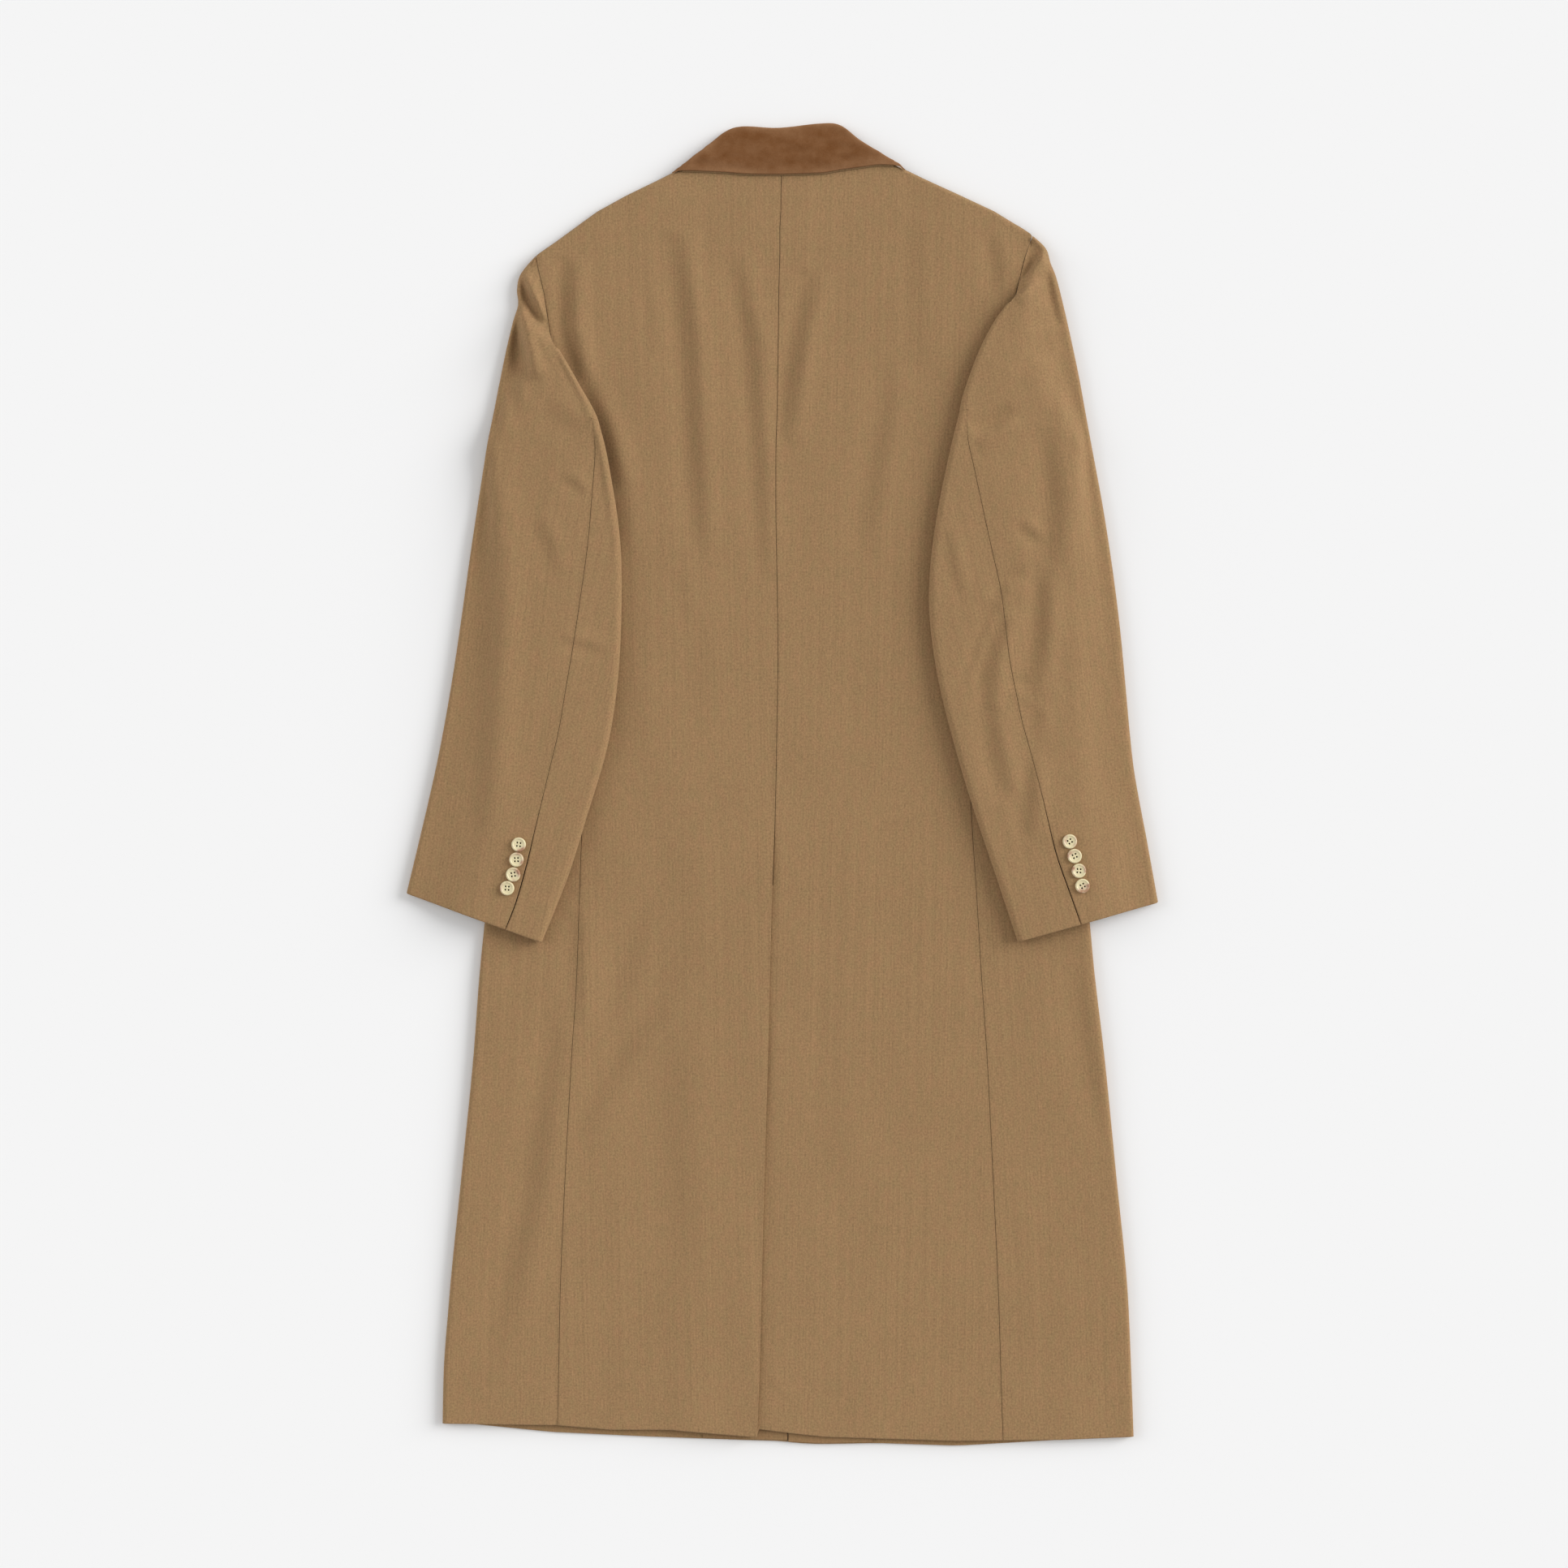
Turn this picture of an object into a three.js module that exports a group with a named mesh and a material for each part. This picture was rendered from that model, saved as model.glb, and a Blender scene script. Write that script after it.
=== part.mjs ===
// A long wool overcoat with a velvet collar, laid flat with its back up.
// X runs to the right, Y towards the collar and Z up, in millimetres. The fronts lie flat on Z = 0.
import * as THREE from "three";

// Cloth and seams
const WALL = 2.8; // wool with its interlining and lining
const FACING_WALL = 1.3;
const VELVET_WALL = 1.6;
const UNDERCOLLAR_WALL = 1.2;
const SEAM_GAP = 0.3;
const HALF_GAP = SEAM_GAP / 2;
const HIDDEN_GAP = 0.45; // on each side of a curved seam under the sleeves
const REST_GAP = 0.5; // a layer that rests on another one
const REST_REACH = 12; // how far round a point a resting layer keeps clear of bumps

// Body
const CENTRE_FRONT = 5;
const FACING_WIDTH = 84;
const VENT_TOP = -99;
const VENT_UNDERLAP = 45;
const LAP_RISE = WALL + SEAM_GAP;
const UNDERARM = 325;
const SHOULDER_TOP = 612;
const FRONT_TOP = 590;
const NECK_POINT = 420; // where the collar's front ends meet the centre front
const NECK_SPREAD = 104; // from the centre front to the front's neck edge at its top
const NECK_OPENING = 58; // from the centre front to the collar's inner edge at its top
const HEM_BLEND = 120; // height over which the rows level out above the hem
const SHOULDER_ROUND = 9; // width of the rounded shoulder edge
const SHOULDER_POINT = 541; // the back's edge is a seam below here
const LEFT_ROUNDING = [520, 541]; // over this height the seam's square edge turns into the rounded one
const RIGHT_ROUNDING = [538, 556];
const SIDE_FOLD_INSET = 5; // the side fold is as thick as the body is this far inside it
const ARMHOLE_TOP = 520;
const FACING_SECTIONS = [-150, 200];

// Sleeve stations: 0 is the cuff, 14 the shoulder
const SEAM_STATION = 8; // the elbow seam comes out from under the inner fold here
const LAST_STATION = 14;
const SLEEVE_FLOOR_GAP = 0.4;
const SLEEVE_EDGE_THICKNESS = 9.4;
const SLEEVE_FOLD_THICKNESS = 12.5;
const SLEEVE_HEAD_THICKNESS = 9.5; // of the inner fold where it leaves the armhole
const FOREARM_SEAM_CLEARANCE = 10;
const EDGE_FADE = 8; // over which a sleeve's folds fade out at its outer contour
const SEAM_FADE = 16; // and at its inner fold, or less where the sleeve is narrow
const UNDERLAY_WIDTH = 16; // the top sleeve reaches this far under its inner fold at the head

// Collar
const LEAF_LAYERS = VELVET_WALL + SEAM_GAP + UNDERCOLLAR_WALL;
const COLLAR_THICKNESS = 2 * LEAF_LAYERS + 0.4;
const COLLAR_RIM = 1.1; // the undercollar shows this far below the velvet
const NECK_SEAM = 612.5;
const COLLAR_END_TOP = 603;
const COLLAR_REST = 605; // above here the leaf no longer follows the back
const COLLAR_TAPER = 5.5; // where the leaf is narrower than this, at its tips, its layers thin out
const UNDERCOLLAR_SPAN = [-99, 109];

// Cuff buttons
const BUTTON_RADIUS = 7.1;
const BUTTON_HEIGHT = 3.2;
const BUTTON_CHAMFER = 0.5;
const BUTTON_HOLE = 0.9;
const BUTTON_HOLE_OFFSET = 1.6;

const WOOL = new THREE.MeshStandardMaterial({ color: 0x9d7e5a, roughness: 0.95, metalness: 0 });
const WOOL_INSIDE = new THREE.MeshStandardMaterial({ color: 0x98774f, roughness: 0.95, metalness: 0 });
const VELVET = new THREE.MeshStandardMaterial({ color: 0x754e2f, roughness: 1, metalness: 0 });
const HORN = new THREE.MeshStandardMaterial({ color: 0xe1d7aa, roughness: 0.35, metalness: 0 });

// A table is an array of rows, turned into objects with the named columns.
function table(columns, rows) {
  const names = columns.split(" ");
  return rows.map((row) => Object.fromEntries(names.map((name, k) => [name, row[k]])));
}

// Body below the armholes, from hem to underarm: side folds, side-back seams and centre-back seam.
const BODY = table("y leftFold leftSeam centre rightSeam rightFold", [
  [-640, -335.5, -222, -25, 217, 346],
  [-587, -334.5, -221, -23, 215, 344],
  [-507, -329, -219.5, -21, 212.5, 340.5],
  [-387, -317, -214.5, -18, 207, 329],
  [-267, -305, -208, -14.5, 201, 317],
  [-187, -299, -203, -12.5, 195.5, 307.5],
  [-110, -291, -200.5, -10.5, 191, 300],
  [-27, -280.5, -197.5, -7.5, 186, 287],
  [53, -272.5, -195, -6, 183.5, 279],
  [133, -269, -192.5, -5, 183.5, 275.5],
  [213, -271, -194, -6, 187, 276.5],
  [277, -273.5, -199, -7, 193, 278.5],
  [325, -275, -205, -7, 202, 280],
]);

// Body above the underarm: back armholes up to the shoulder points, then the shoulder line.
const YOKE = table("y leftBack centre rightBack leftFront rightFront", [
  [325, -205, -7, 202, -275, 280],
  [345, -211, -6.5, 207.5, -236, 236],
  [373, -218, -5.5, 215.5, -221, 218],
  [413, -224.5, -5, 221, -217, 214],
  [449, -230, -4.5, 224.5, -221, 219],
  [484.5, -235.5, -4, 230, -228, 226],
  [507, -241, -3.5, 235.5, -234, 231],
  [520.5, -243.5, -3, 239, -240, 236],
  [541, -216, -3, 246, -214, 244],
  [549, -205, -3, 235, -203, 233],
  [565, -183, -2, 209, -181, 207],
  [581, -154, -2, 175, -152, 173],
  [597, -120.5, -1.5, 139.5, -118, 137],
  [607, -98.5, -1, 116, -96, 114],
  [612, -89, -1, 104.5, -87, 102],
]);

// Height of the back above the surface that the coat lies on.
const HEIGHT = table("y z", [
  [-660, 8.6],
  [-300, 9],
  [0, 9.3],
  [300, 9.5],
  [500, 9.9],
  [570, 9.4],
  [620, 8.6],
]);

const BACK_HEM = table("x y", [
  [-336, -630],
  [-222, -631.5],
  [-170, -636],
  [-109, -636],
  [-26, -643],
  [-23.5, -635.5],
  [4.5, -639],
  [41, -643],
  [171, -647],
  [271, -646],
  [346, -643],
]);
const FRONT_HEM = table("x y", [
  [-336, -630],
  [-307.5, -631],
  [-227.5, -639],
  [-131.5, -643.5],
  [-35.5, -647],
  [4, -648],
  [6, -649.5],
  [36.5, -651],
  [92.5, -650],
  [172.5, -652.5],
  [268.5, -647],
  [346, -643],
]);

// Heights of the sections through the body. The lowest one follows the hem.
const BODY_SECTIONS = [
  -640, -590, -530, -465, -400, -335, -270, -210, -155, VENT_TOP, -50, 5, 60, 115, 170, 225, 275,
  UNDERARM,
];
const YOKE_SECTIONS = [350, 385, 420, 455, 487, 507, 520.5, 541, 549, 562, 576, FRONT_TOP, 603, SHOULDER_TOP];

// Soft folds in the body: three points each, half width, and height of the crest above the cloth around.
// A fold rises across its line towards the right, from a trough on the left to a crest.
const BODY_FOLDS = table("x0 y0 x1 y1 x2 y2 width height", [
  [-104, 545, -90, 437, -80, 228, 10, 2.6],
  [-47, 525, -28, 430, -17, 204, 9, 1.8],
  [33, 505, 18, 437, 2, 335, 9, 2.6],
  [111, 412, 99, 340, 81, 226, 12, 1.6],
  [127, 560, 138, 456, 142, 395, 14, 0.8],
  [-209, 520, -209, 450, -196, 395, 8, 3.2],
  [-193, 398, -174, 350, -160, 290, 9, 1.8],
  [208, 545, 214, 505, 212, 480, 8, 1.6],
  [-173, 350, -163, 300, -155, 225, 12, 1.2],
  [-127, -104, -147, -179, -172, -246, 12, 0.9],
  [-95, -190, -150, -262, -201, -348, 12, 1.5],
  [-215, -205, -243, -400, -285, -575, 14, 1.9],
  [-200, -125, -201, -180, -201, -240, 9, 1.4],
  [293, -175, 308, -280, 325, -350, 12, 1.3],
  [-100, -225, -101, -350, -100, -480, 15, 0.4],
  [52, -200, 53, -290, 52, -380, 15, 0.4],
]);

// Soft folds in the sleeves, in the same columns.
const SLEEVE_FOLDS = table("x0 y0 x1 y1 x2 y2 width height", [
  [-263, 476, -259, 436, -249, 396, 8, 3.4],
  [-256, 500, -247, 478, -236, 456, 6, 2.2],
  [-233, 375, -212, 360, -190, 342, 12, 1],
  [-281, 290, -280, 177, -296, -60, 12, 2.2],
  [262, 352, 271, 275, 264, 205, 11, 2.2],
  [259, 215, 256, 150, 246, 84, 9, 2.4],
  [222, 172, 205, 118, 203, 72, 8, 2.4],
  [203, 85, 210, 35, 222, -14, 9, 1.8],
  [229, 364, 207, 347, 188, 339, 8, 1.4],
  [258, 531, 244, 507, 224, 477, 7, 3],
  [246, 28, 245, -15, 240, -54, 8, 1.7],
  [319, 137, 322, 30, 322, -79, 13, 0.8],
]);

// Sleeves, a row for each station: outer contour and inner fold or, at the head, the armhole seam.
const LEFT_SLEEVE = table("outerX outerY innerX innerY", [
  [-371, -107.5, -237, -155.5],
  [-356, -45, -211.5, -92],
  [-341, 21, -192, -30],
  [-329, 85, -172, 38],
  [-319, 149, -162, 104],
  [-310, 213, -158.5, 170],
  [-300.5, 277, -159.5, 236],
  [-290.5, 336, -168, 298],
  [-279.5, 395, -181, 357],
  [-272.5, 429, -202, 397],
  [-266, 456, -219.5, 427.5],
  [-261, 473, -229, 444.5],
  [-262, 488, -233.3, 470],
  [-258.5, 503, -238, 493],
  [-244.1, 520.8, -242.5, 513],
]);
const RIGHT_SLEEVE = table("outerX outerY innerX innerY", [
  [370, -116.5, 231, -155],
  [358, -50, 208, -86],
  [346, 16, 186, -20],
  [339, 85, 166, 48],
  [333, 149, 151, 112],
  [325, 213, 143.5, 178],
  [315, 277, 148, 242],
  [303, 341, 159, 304],
  [292, 402, 173.5, 366],
  [284, 440, 187, 412],
  [276, 475, 204, 449],
  [269.5, 500, 220, 472],
  [264, 514, 230, 484.5],
  [259.5, 528, 237.3, 514],
  [246.9, 540.8, 243.7, 532.6],
]);
const LEFT_ELBOW_SEAM = table("y x", [
  [-170, -281],
  [-141, -272],
  [-104.5, -257.5],
  [-32.5, -240.5],
  [50, -220.5],
  [141, -205],
  [233, -191.5],
  [312.5, -185],
  [360, -183.5],
]);
const RIGHT_ELBOW_SEAM = table("y x", [
  [-170, 303],
  [-138, 293],
  [-66, 267.5],
  [5, 250.5],
  [68.5, 233],
  [125, 222],
  [186.5, 215],
  [251.5, 200.5],
  [325, 184.5],
  [370, 175.5],
]);

// Velvet collar seen from above: its fold line at the top and its leaf's lower edge.
const COLLAR_OUTLINE = table("x fold edge", [
  [-109, 603, 602],
  [-104, 606.7, 603.6],
  [-99, 610.5, 604.2],
  [-87, 620, 604],
  [-75.5, 629, 603.5],
  [-55, 644.5, 602.5],
  [-39.5, 649, 601],
  [-5, 647.5, 600.5],
  [39.5, 652, 602],
  [57, 650, 605],
  [75.5, 635.5, 607.5],
  [95, 623.5, 610],
  [109, 615, 609.5],
  [115, 611.3, 608.3],
  [120.5, 605.9, 604.7],
]);

const LEFT_BUTTONS = table("x y turn", [
  [-259, -59, -8],
  [-261.2, -73.8, 2],
  [-264.4, -88.4, 10],
  [-270.4, -101.8, -5],
]);
const RIGHT_BUTTONS = table("x y turn", [
  [281.5, -56, 33],
  [286.2, -70.3, 25],
  [290.4, -84.8, -4],
  [294, -99.6, 30],
]);

// Value of a column at a place along another one, straight between the rows.
function lookUp(rows, key, column, value) {
  if (value <= rows[0][key]) return rows[0][column];
  for (let k = 1; k < rows.length; k++) {
    if (value <= rows[k][key]) {
      const share = (value - rows[k - 1][key]) / (rows[k][key] - rows[k - 1][key]);
      return THREE.MathUtils.lerp(rows[k - 1][column], rows[k][column], share);
    }
  }
  return rows[rows.length - 1][column];
}

// Value of a column at a station number, on a smooth curve through the rows.
function smoothAt(rows, column, station) {
  const last = rows.length - 1;
  const k = Math.min(Math.floor(station), last - 1);
  const t = station - k;
  const at = (n) => rows[THREE.MathUtils.clamp(n, 0, last)][column];
  const slopeHere = (at(k + 1) - at(k - 1)) / 2;
  const slopeNext = (at(k + 2) - at(k)) / 2;
  const t2 = t * t;
  const t3 = t2 * t;
  return (
    (2 * t3 - 3 * t2 + 1) * at(k) +
    (t3 - 2 * t2 + t) * slopeHere +
    (3 * t2 - 2 * t3) * at(k + 1) +
    (t3 - t2) * slopeNext
  );
}

// Rises smoothly from 0 to 1 between two values, which may be given in falling order.
function ramp(value, from, to) {
  const turn = from < to ? 1 : -1;
  return THREE.MathUtils.smoothstep(turn * value, turn * from, turn * to);
}

// Rise of the cloth from the folds of a table at a point. Each fold fades out at its ends.
function foldRise(folds, x, y) {
  let rise = 0;
  for (const fold of folds) {
    const legs = [
      [fold.x0, fold.y0, fold.x1, fold.y1, 0],
      [fold.x1, fold.y1, fold.x2, fold.y2, 1],
    ];
    let nearest = Infinity;
    let along = 0;
    let away = 0;
    for (const [ax, ay, bx, by, leg] of legs) {
      const share = THREE.MathUtils.clamp(
        ((x - ax) * (bx - ax) + (y - ay) * (by - ay)) / ((bx - ax) ** 2 + (by - ay) ** 2), 0, 1);
      const distance = Math.hypot(x - ax - share * (bx - ax), y - ay - share * (by - ay));
      if (distance < nearest) {
        nearest = distance;
        along = (leg + share) / 2;
        const across = (x - ax) * (by - ay) - (y - ay) * (bx - ax);
        away = (Math.sign(across) * Math.sign(by - ay) * distance) / fold.width;
      }
    }
    const fade = Math.sqrt(Math.sin(Math.PI * along));
    rise += fold.height * fade * away * Math.exp((1 - away ** 2) / 2);
  }
  return rise;
}

const centreBack = (y) => (y < UNDERARM ? lookUp(BODY, "y", "centre", y) : lookUp(YOKE, "y", "centre", y));

// Outer edge of a back panel: the side-back seam, then the armhole, then the shoulder line.
function backEdge(side, y) {
  if (y < UNDERARM) return lookUp(BODY, "y", side < 0 ? "leftSeam" : "rightSeam", y);
  return lookUp(YOKE, "y", side < 0 ? "leftBack" : "rightBack", y);
}

// Outer edge of the body on the surface below: the side fold, then the front armhole and shoulder line.
function frontEdge(side, y) {
  if (y < UNDERARM) return lookUp(BODY, "y", side < 0 ? "leftFold" : "rightFold", y);
  return lookUp(YOKE, "y", side < 0 ? "leftFront" : "rightFront", y);
}

// Top of the body's cloth, without the lap of the vent.
const bodyTop = (x, y) => lookUp(HEIGHT, "y", "z", y) + foldRise(BODY_FOLDS, x, y);

// The left back rises over the underlap of the vent.
function lapRise(x, y) {
  const distance = centreBack(y) - x;
  return LAP_RISE * ramp(y, VENT_TOP + 75, VENT_TOP + 2) * ramp(distance, 2.6 * VENT_UNDERLAP, 1.25 * VENT_UNDERLAP);
}

// A closed sheet of cloth from a grid of outer points, a grid of inner points and the cells it has.
function sheetGeometry(outer, inner, present = () => true) {
  const rows = outer.length;
  const columns = outer[0].length;
  const points = [...outer.flat(), ...inner.flat()];
  const at = (layer, i, j) => layer * rows * columns + i * columns + j;
  const inside = (i, j) => i >= 0 && j >= 0 && i < rows - 1 && j < columns - 1 && present(i, j);
  let index = [];
  const quad = (a, b, c, d) => index.push(a, b, c, a, c, d);
  for (let i = 0; i < rows - 1; i++) {
    for (let j = 0; j < columns - 1; j++) {
      if (!inside(i, j)) continue;
      quad(at(0, i, j), at(0, i + 1, j), at(0, i + 1, j + 1), at(0, i, j + 1));
      quad(at(1, i, j + 1), at(1, i + 1, j + 1), at(1, i + 1, j), at(1, i, j));
      if (!inside(i - 1, j)) quad(at(0, i, j), at(0, i, j + 1), at(1, i, j + 1), at(1, i, j));
      if (!inside(i + 1, j)) quad(at(0, i + 1, j + 1), at(0, i + 1, j), at(1, i + 1, j), at(1, i + 1, j + 1));
      if (!inside(i, j - 1)) quad(at(0, i + 1, j), at(0, i, j), at(1, i, j), at(1, i + 1, j));
      if (!inside(i, j + 1)) quad(at(0, i, j + 1), at(0, i + 1, j + 1), at(1, i + 1, j + 1), at(1, i, j + 1));
    }
  }
  let volume = 0;
  for (let k = 0; k < index.length; k += 3) {
    const [a, b, c] = [points[index[k]], points[index[k + 1]], points[index[k + 2]]];
    volume += a.dot(new THREE.Vector3().crossVectors(b, c));
  }
  if (volume < 0) index = index.reverse();
  return new THREE.BufferGeometry().setFromPoints(points).setIndex(index).toNonIndexed();
}

// The path of a section, moved inwards. Its points are pairs of a distance along and a height.
// An end stays at its distance along, so that two sheets are parallel at their seam, and an end
// that points down stays at its height.
function inset(path, depth, turn, pointsDown = false) {
  return path.map(([s, z], k) => {
    const before = path[Math.max(k - 1, 0)];
    const after = path[Math.min(k + 1, path.length - 1)];
    const ds = after[0] - before[0];
    const dz = after[1] - before[1];
    const length = Math.hypot(ds, dz);
    if (k === path.length - 1 && pointsDown) return [s - Math.sign(ds) * depth, z];
    if (k === 0 || k === path.length - 1) return [s, z + Math.sign(ds) * turn * depth];
    return [s - (turn * depth * dz) / length, z + (turn * depth * ds) / length];
  });
}

const spread = (count, from, to) => Array.from({ length: count }, (_, k) => from + ((to - from) * k) / (count - 1));

// Half of a fold, as an arc of points between its two flat runs.
function foldArc(count, edge, radiusAlong, low, high, direction) {
  const middle = (low + high) / 2;
  const radiusUp = (high - low) / 2;
  return spread(count + 2, -Math.PI / 2, Math.PI / 2).slice(1, -1).map((angle) => [
    edge + direction * radiusAlong * (1 - Math.cos(angle)),
    middle + radiusUp * Math.sin(angle),
  ]);
}

// The hem's shape, carried up into the rows above it.
function rowHeight(hem, y, x) {
  const lowest = BODY_SECTIONS[0];
  return y + (lookUp(hem, "x", "y", x) - lowest) * ramp(y, lowest + HEM_BLEND, lowest);
}

const bodyPoint = (hem, y, [x, z]) => new THREE.Vector3(x, rowHeight(hem, y, x), z);

// Back panel from the centre-back seam to the side-back seam, armhole and shoulder line.
function backPanel(side) {
  const sections = [...BODY_SECTIONS, ...YOKE_SECTIONS];
  const acrossCount = 16;
  const lapCount = side > 0 ? 2 : 0;
  const outer = [];
  const inner = [];
  for (const y of sections) {
    const centre = centreBack(y) + side * HALF_GAP;
    const edge = backEdge(side, y) - side * (y < SHOULDER_POINT ? HALF_GAP : 0);
    const rounded = ramp(y, ...(side < 0 ? LEFT_ROUNDING : RIGHT_ROUNDING));
    const top = (x) => {
      const distance = Math.abs(edge - x) / SHOULDER_ROUND;
      const fall = distance < 1 ? 1 - Math.sqrt(1 - (1 - distance) ** 2) : 0;
      const height = bodyTop(x, y) + (side < 0 ? lapRise(x, y) : 0);
      return height - rounded * fall * (height - WALL - SEAM_GAP);
    };
    const roundStart = edge - side * SHOULDER_ROUND;
    const path = spread(lapCount + 1, centre - VENT_UNDERLAP, centre).slice(0, -1).map((x) => [x, bodyTop(x, y)]);
    for (const x of spread(acrossCount - 3, centre, roundStart)) path.push([x, top(x)]);
    for (const share of [0.5, 0.85, 1]) {
      const x = THREE.MathUtils.lerp(roundStart, edge, share);
      path.push([x, top(x)]);
    }
    const turn = side < 0 ? 1 : -1;
    outer.push(path.map((p) => bodyPoint(BACK_HEM, y, p)));
    inner.push(inset(path, WALL, turn, rounded > 0.5).map((p) => bodyPoint(BACK_HEM, y, p)));
  }
  const ventRow = sections.indexOf(VENT_TOP);
  return sheetGeometry(outer, inner, (i, j) => j >= lapCount || i < ventRow);
}

// Inner edge of a front: the centre front, then the seam of the collar's front end.
function frontInside(side, y) {
  const share = Math.max(0, (y - NECK_POINT) / (FRONT_TOP - NECK_POINT));
  return CENTRE_FRONT + side * (HALF_GAP + NECK_SPREAD * share);
}

// Front panel: on the surface from the centre front to the side fold, round it and on to the side-back seam.
function frontPanel(side) {
  const sections = [...BODY_SECTIONS, ...YOKE_SECTIONS].filter((y) => y <= FRONT_TOP);
  const flatCount = 4;
  const arcCount = 3;
  const topCount = 5;
  const outer = [];
  const inner = [];
  for (const y of sections) {
    const fold = frontEdge(side, y);
    const flatY = Math.min(y, UNDERARM);
    const radius = bodyTop(fold - side * SIDE_FOLD_INSET, flatY) / 2;
    const seam = backEdge(side, flatY) + side * HALF_GAP;
    const flatEnd = y > UNDERARM ? fold - side * HALF_GAP : fold - side * radius;
    const flat = spread(flatCount, frontInside(side, y), flatEnd).map((x) => [x, 0]);
    const arc = foldArc(arcCount, fold, -side * radius, 0, 2 * radius, 1);
    const top = spread(topCount, fold - side * radius, seam).map((x) => [x, bodyTop(x, flatY)]);
    const path = y > UNDERARM ? flat : [...flat, ...arc, ...top];
    const turn = side < 0 ? -1 : 1;
    const lining = inset(path, WALL, turn);
    const whole = (points) => {
      const made = points.map((p, j) => bodyPoint(j < flatCount ? FRONT_HEM : BACK_HEM, y, p));
      while (made.length < flatCount + arcCount + topCount) made.push(made[made.length - 1]);
      return made;
    };
    outer.push(whole(path));
    inner.push(whole(lining));
  }
  const underarmRow = sections.indexOf(UNDERARM);
  return sheetGeometry(outer, inner, (i, j) => j < flatCount - 1 || i < underarmRow);
}

// Facing, which lies on the inside of the front along its edge.
function facing(side) {
  const floor = WALL + SEAM_GAP;
  const sections = [...BODY_SECTIONS.slice(0, 3), ...FACING_SECTIONS, NECK_POINT];
  const grid = (z) => sections.map((y) => spread(4, 0.6, FACING_WIDTH).map((across) => {
    const x = CENTRE_FRONT + side * across;
    const lift = y === sections[0] ? 1.2 : 0;
    return new THREE.Vector3(x, rowHeight(FRONT_HEM, y, x) + lift, z);
  }));
  return sheetGeometry(grid(floor + FACING_WALL), grid(floor));
}

// Highest point of the body near a point, for a layer that rests on it.
function clearHeight(x, y) {
  let highest = 0;
  for (const dx of [-REST_REACH, 0, REST_REACH]) {
    for (const dy of [-REST_REACH, 0, REST_REACH]) {
      highest = Math.max(highest, bodyTop(x + dx, y + dy));
    }
  }
  return highest + REST_GAP;
}

// Outer edge of what carries a sleeve: the side fold, or above the underarm the back's armhole.
function carrierEdge(side, y) {
  const open = ramp(y, UNDERARM + 10, UNDERARM + 110);
  return THREE.MathUtils.lerp(frontEdge(side, Math.min(y, UNDERARM)), backEdge(side, Math.min(y, ARMHOLE_TOP)), open);
}

// Height on which a sleeve lies: on the body, and from its edge down to the surface below.
function sleeveBase(side, x, y, outerX) {
  const edge = carrierEdge(side, y);
  const beyond = side * (x - edge);
  const drop = ramp(beyond, 7, Math.max(22, side * (outerX - edge) - 6));
  return THREE.MathUtils.lerp(clearHeight(Math.abs(x) < Math.abs(edge) ? x : edge, y), SLEEVE_FLOOR_GAP, drop);
}

// Sections of a sleeve at a station: the line across it, its two seams, and its lower and upper faces.
function sleeveStation(side, rows, elbowSeam, crossing, station) {
  const at = (column) => smoothAt(rows, column, station);
  const outer = new THREE.Vector2(at("outerX"), at("outerY"));
  const inner = new THREE.Vector2(at("innerX"), at("innerY"));
  const width = outer.distanceTo(inner);
  const point = (s) => outer.clone().lerp(inner, s / width);
  const overBack = ramp(station, crossing + 1.5, crossing) * (WALL + SEAM_GAP) * (station > crossing - 0.5 ? 1 : 0);
  const foldThickness = station > crossing - 0.5
    ? overBack
    : THREE.MathUtils.lerp(SLEEVE_HEAD_THICKNESS, SLEEVE_FOLD_THICKNESS, ramp(station, crossing - 1, SEAM_STATION));
  const low = (s) => {
    const p = point(s);
    return sleeveBase(side, p.x, p.y, outer.x);
  };
  const high = (s) => {
    const p = point(s);
    const share = ramp(s, 0, width * 0.8);
    const nearSeam = Math.min(SEAM_FADE, width / 4);
    const folds = foldRise(SLEEVE_FOLDS, p.x, p.y) * ramp(s, 0, EDGE_FADE) * ramp(s, width, width - nearSeam);
    if (station > crossing - 0.5) {
      const seamTop = bodyTop(inner.x, inner.y) + overBack;
      return THREE.MathUtils.lerp(SLEEVE_FLOOR_GAP + SLEEVE_EDGE_THICKNESS, seamTop, share) + folds;
    }
    const thickness = THREE.MathUtils.lerp(SLEEVE_EDGE_THICKNESS, foldThickness, share);
    return low(s) + thickness + folds;
  };
  const crossesSeam = (s) => {
    const p = point(s);
    return side * (p.x - lookUp(elbowSeam, "y", "x", p.y)) < 0;
  };
  let seam = 0;
  for (let step = width / 2; step > 0.02; step /= 2) seam += crossesSeam(seam + step) ? 0 : step;
  return { station, crossing, side, width, point, low, high, seam };
}

const outerRadius = ({ width }) => Math.min(SLEEVE_EDGE_THICKNESS / 2, width * 0.4);
const foldRadius = ({ width, high, low }) => (high(width - 4) - low(width - 4)) / 2;

// Distance from the outer contour to the elbow seam, which ends at the inner fold.
const upperSeam = (section) => Math.min(section.seam, section.width - foldRadius(section) - 1.5);

// Distance from the outer contour to the seam on the lower face: the forearm seam, or the front armhole.
function lowerSeam(section) {
  const { side, width, point, station } = section;
  const limit = (y) => (station > SEAM_STATION
    ? frontEdge(side, Math.max(y, UNDERARM + 20)) + side * 1.5
    : frontEdge(side, Math.min(y, UNDERARM)) + side * FOREARM_SEAM_CLEARANCE);
  let s = 0;
  for (let step = width / 2; step > 0.02; step /= 2) {
    const p = point(s + step);
    if (side * (p.x - limit(p.y)) > 0) s += step;
  }
  return Math.max(s, outerRadius(section) + 2);
}

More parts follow.
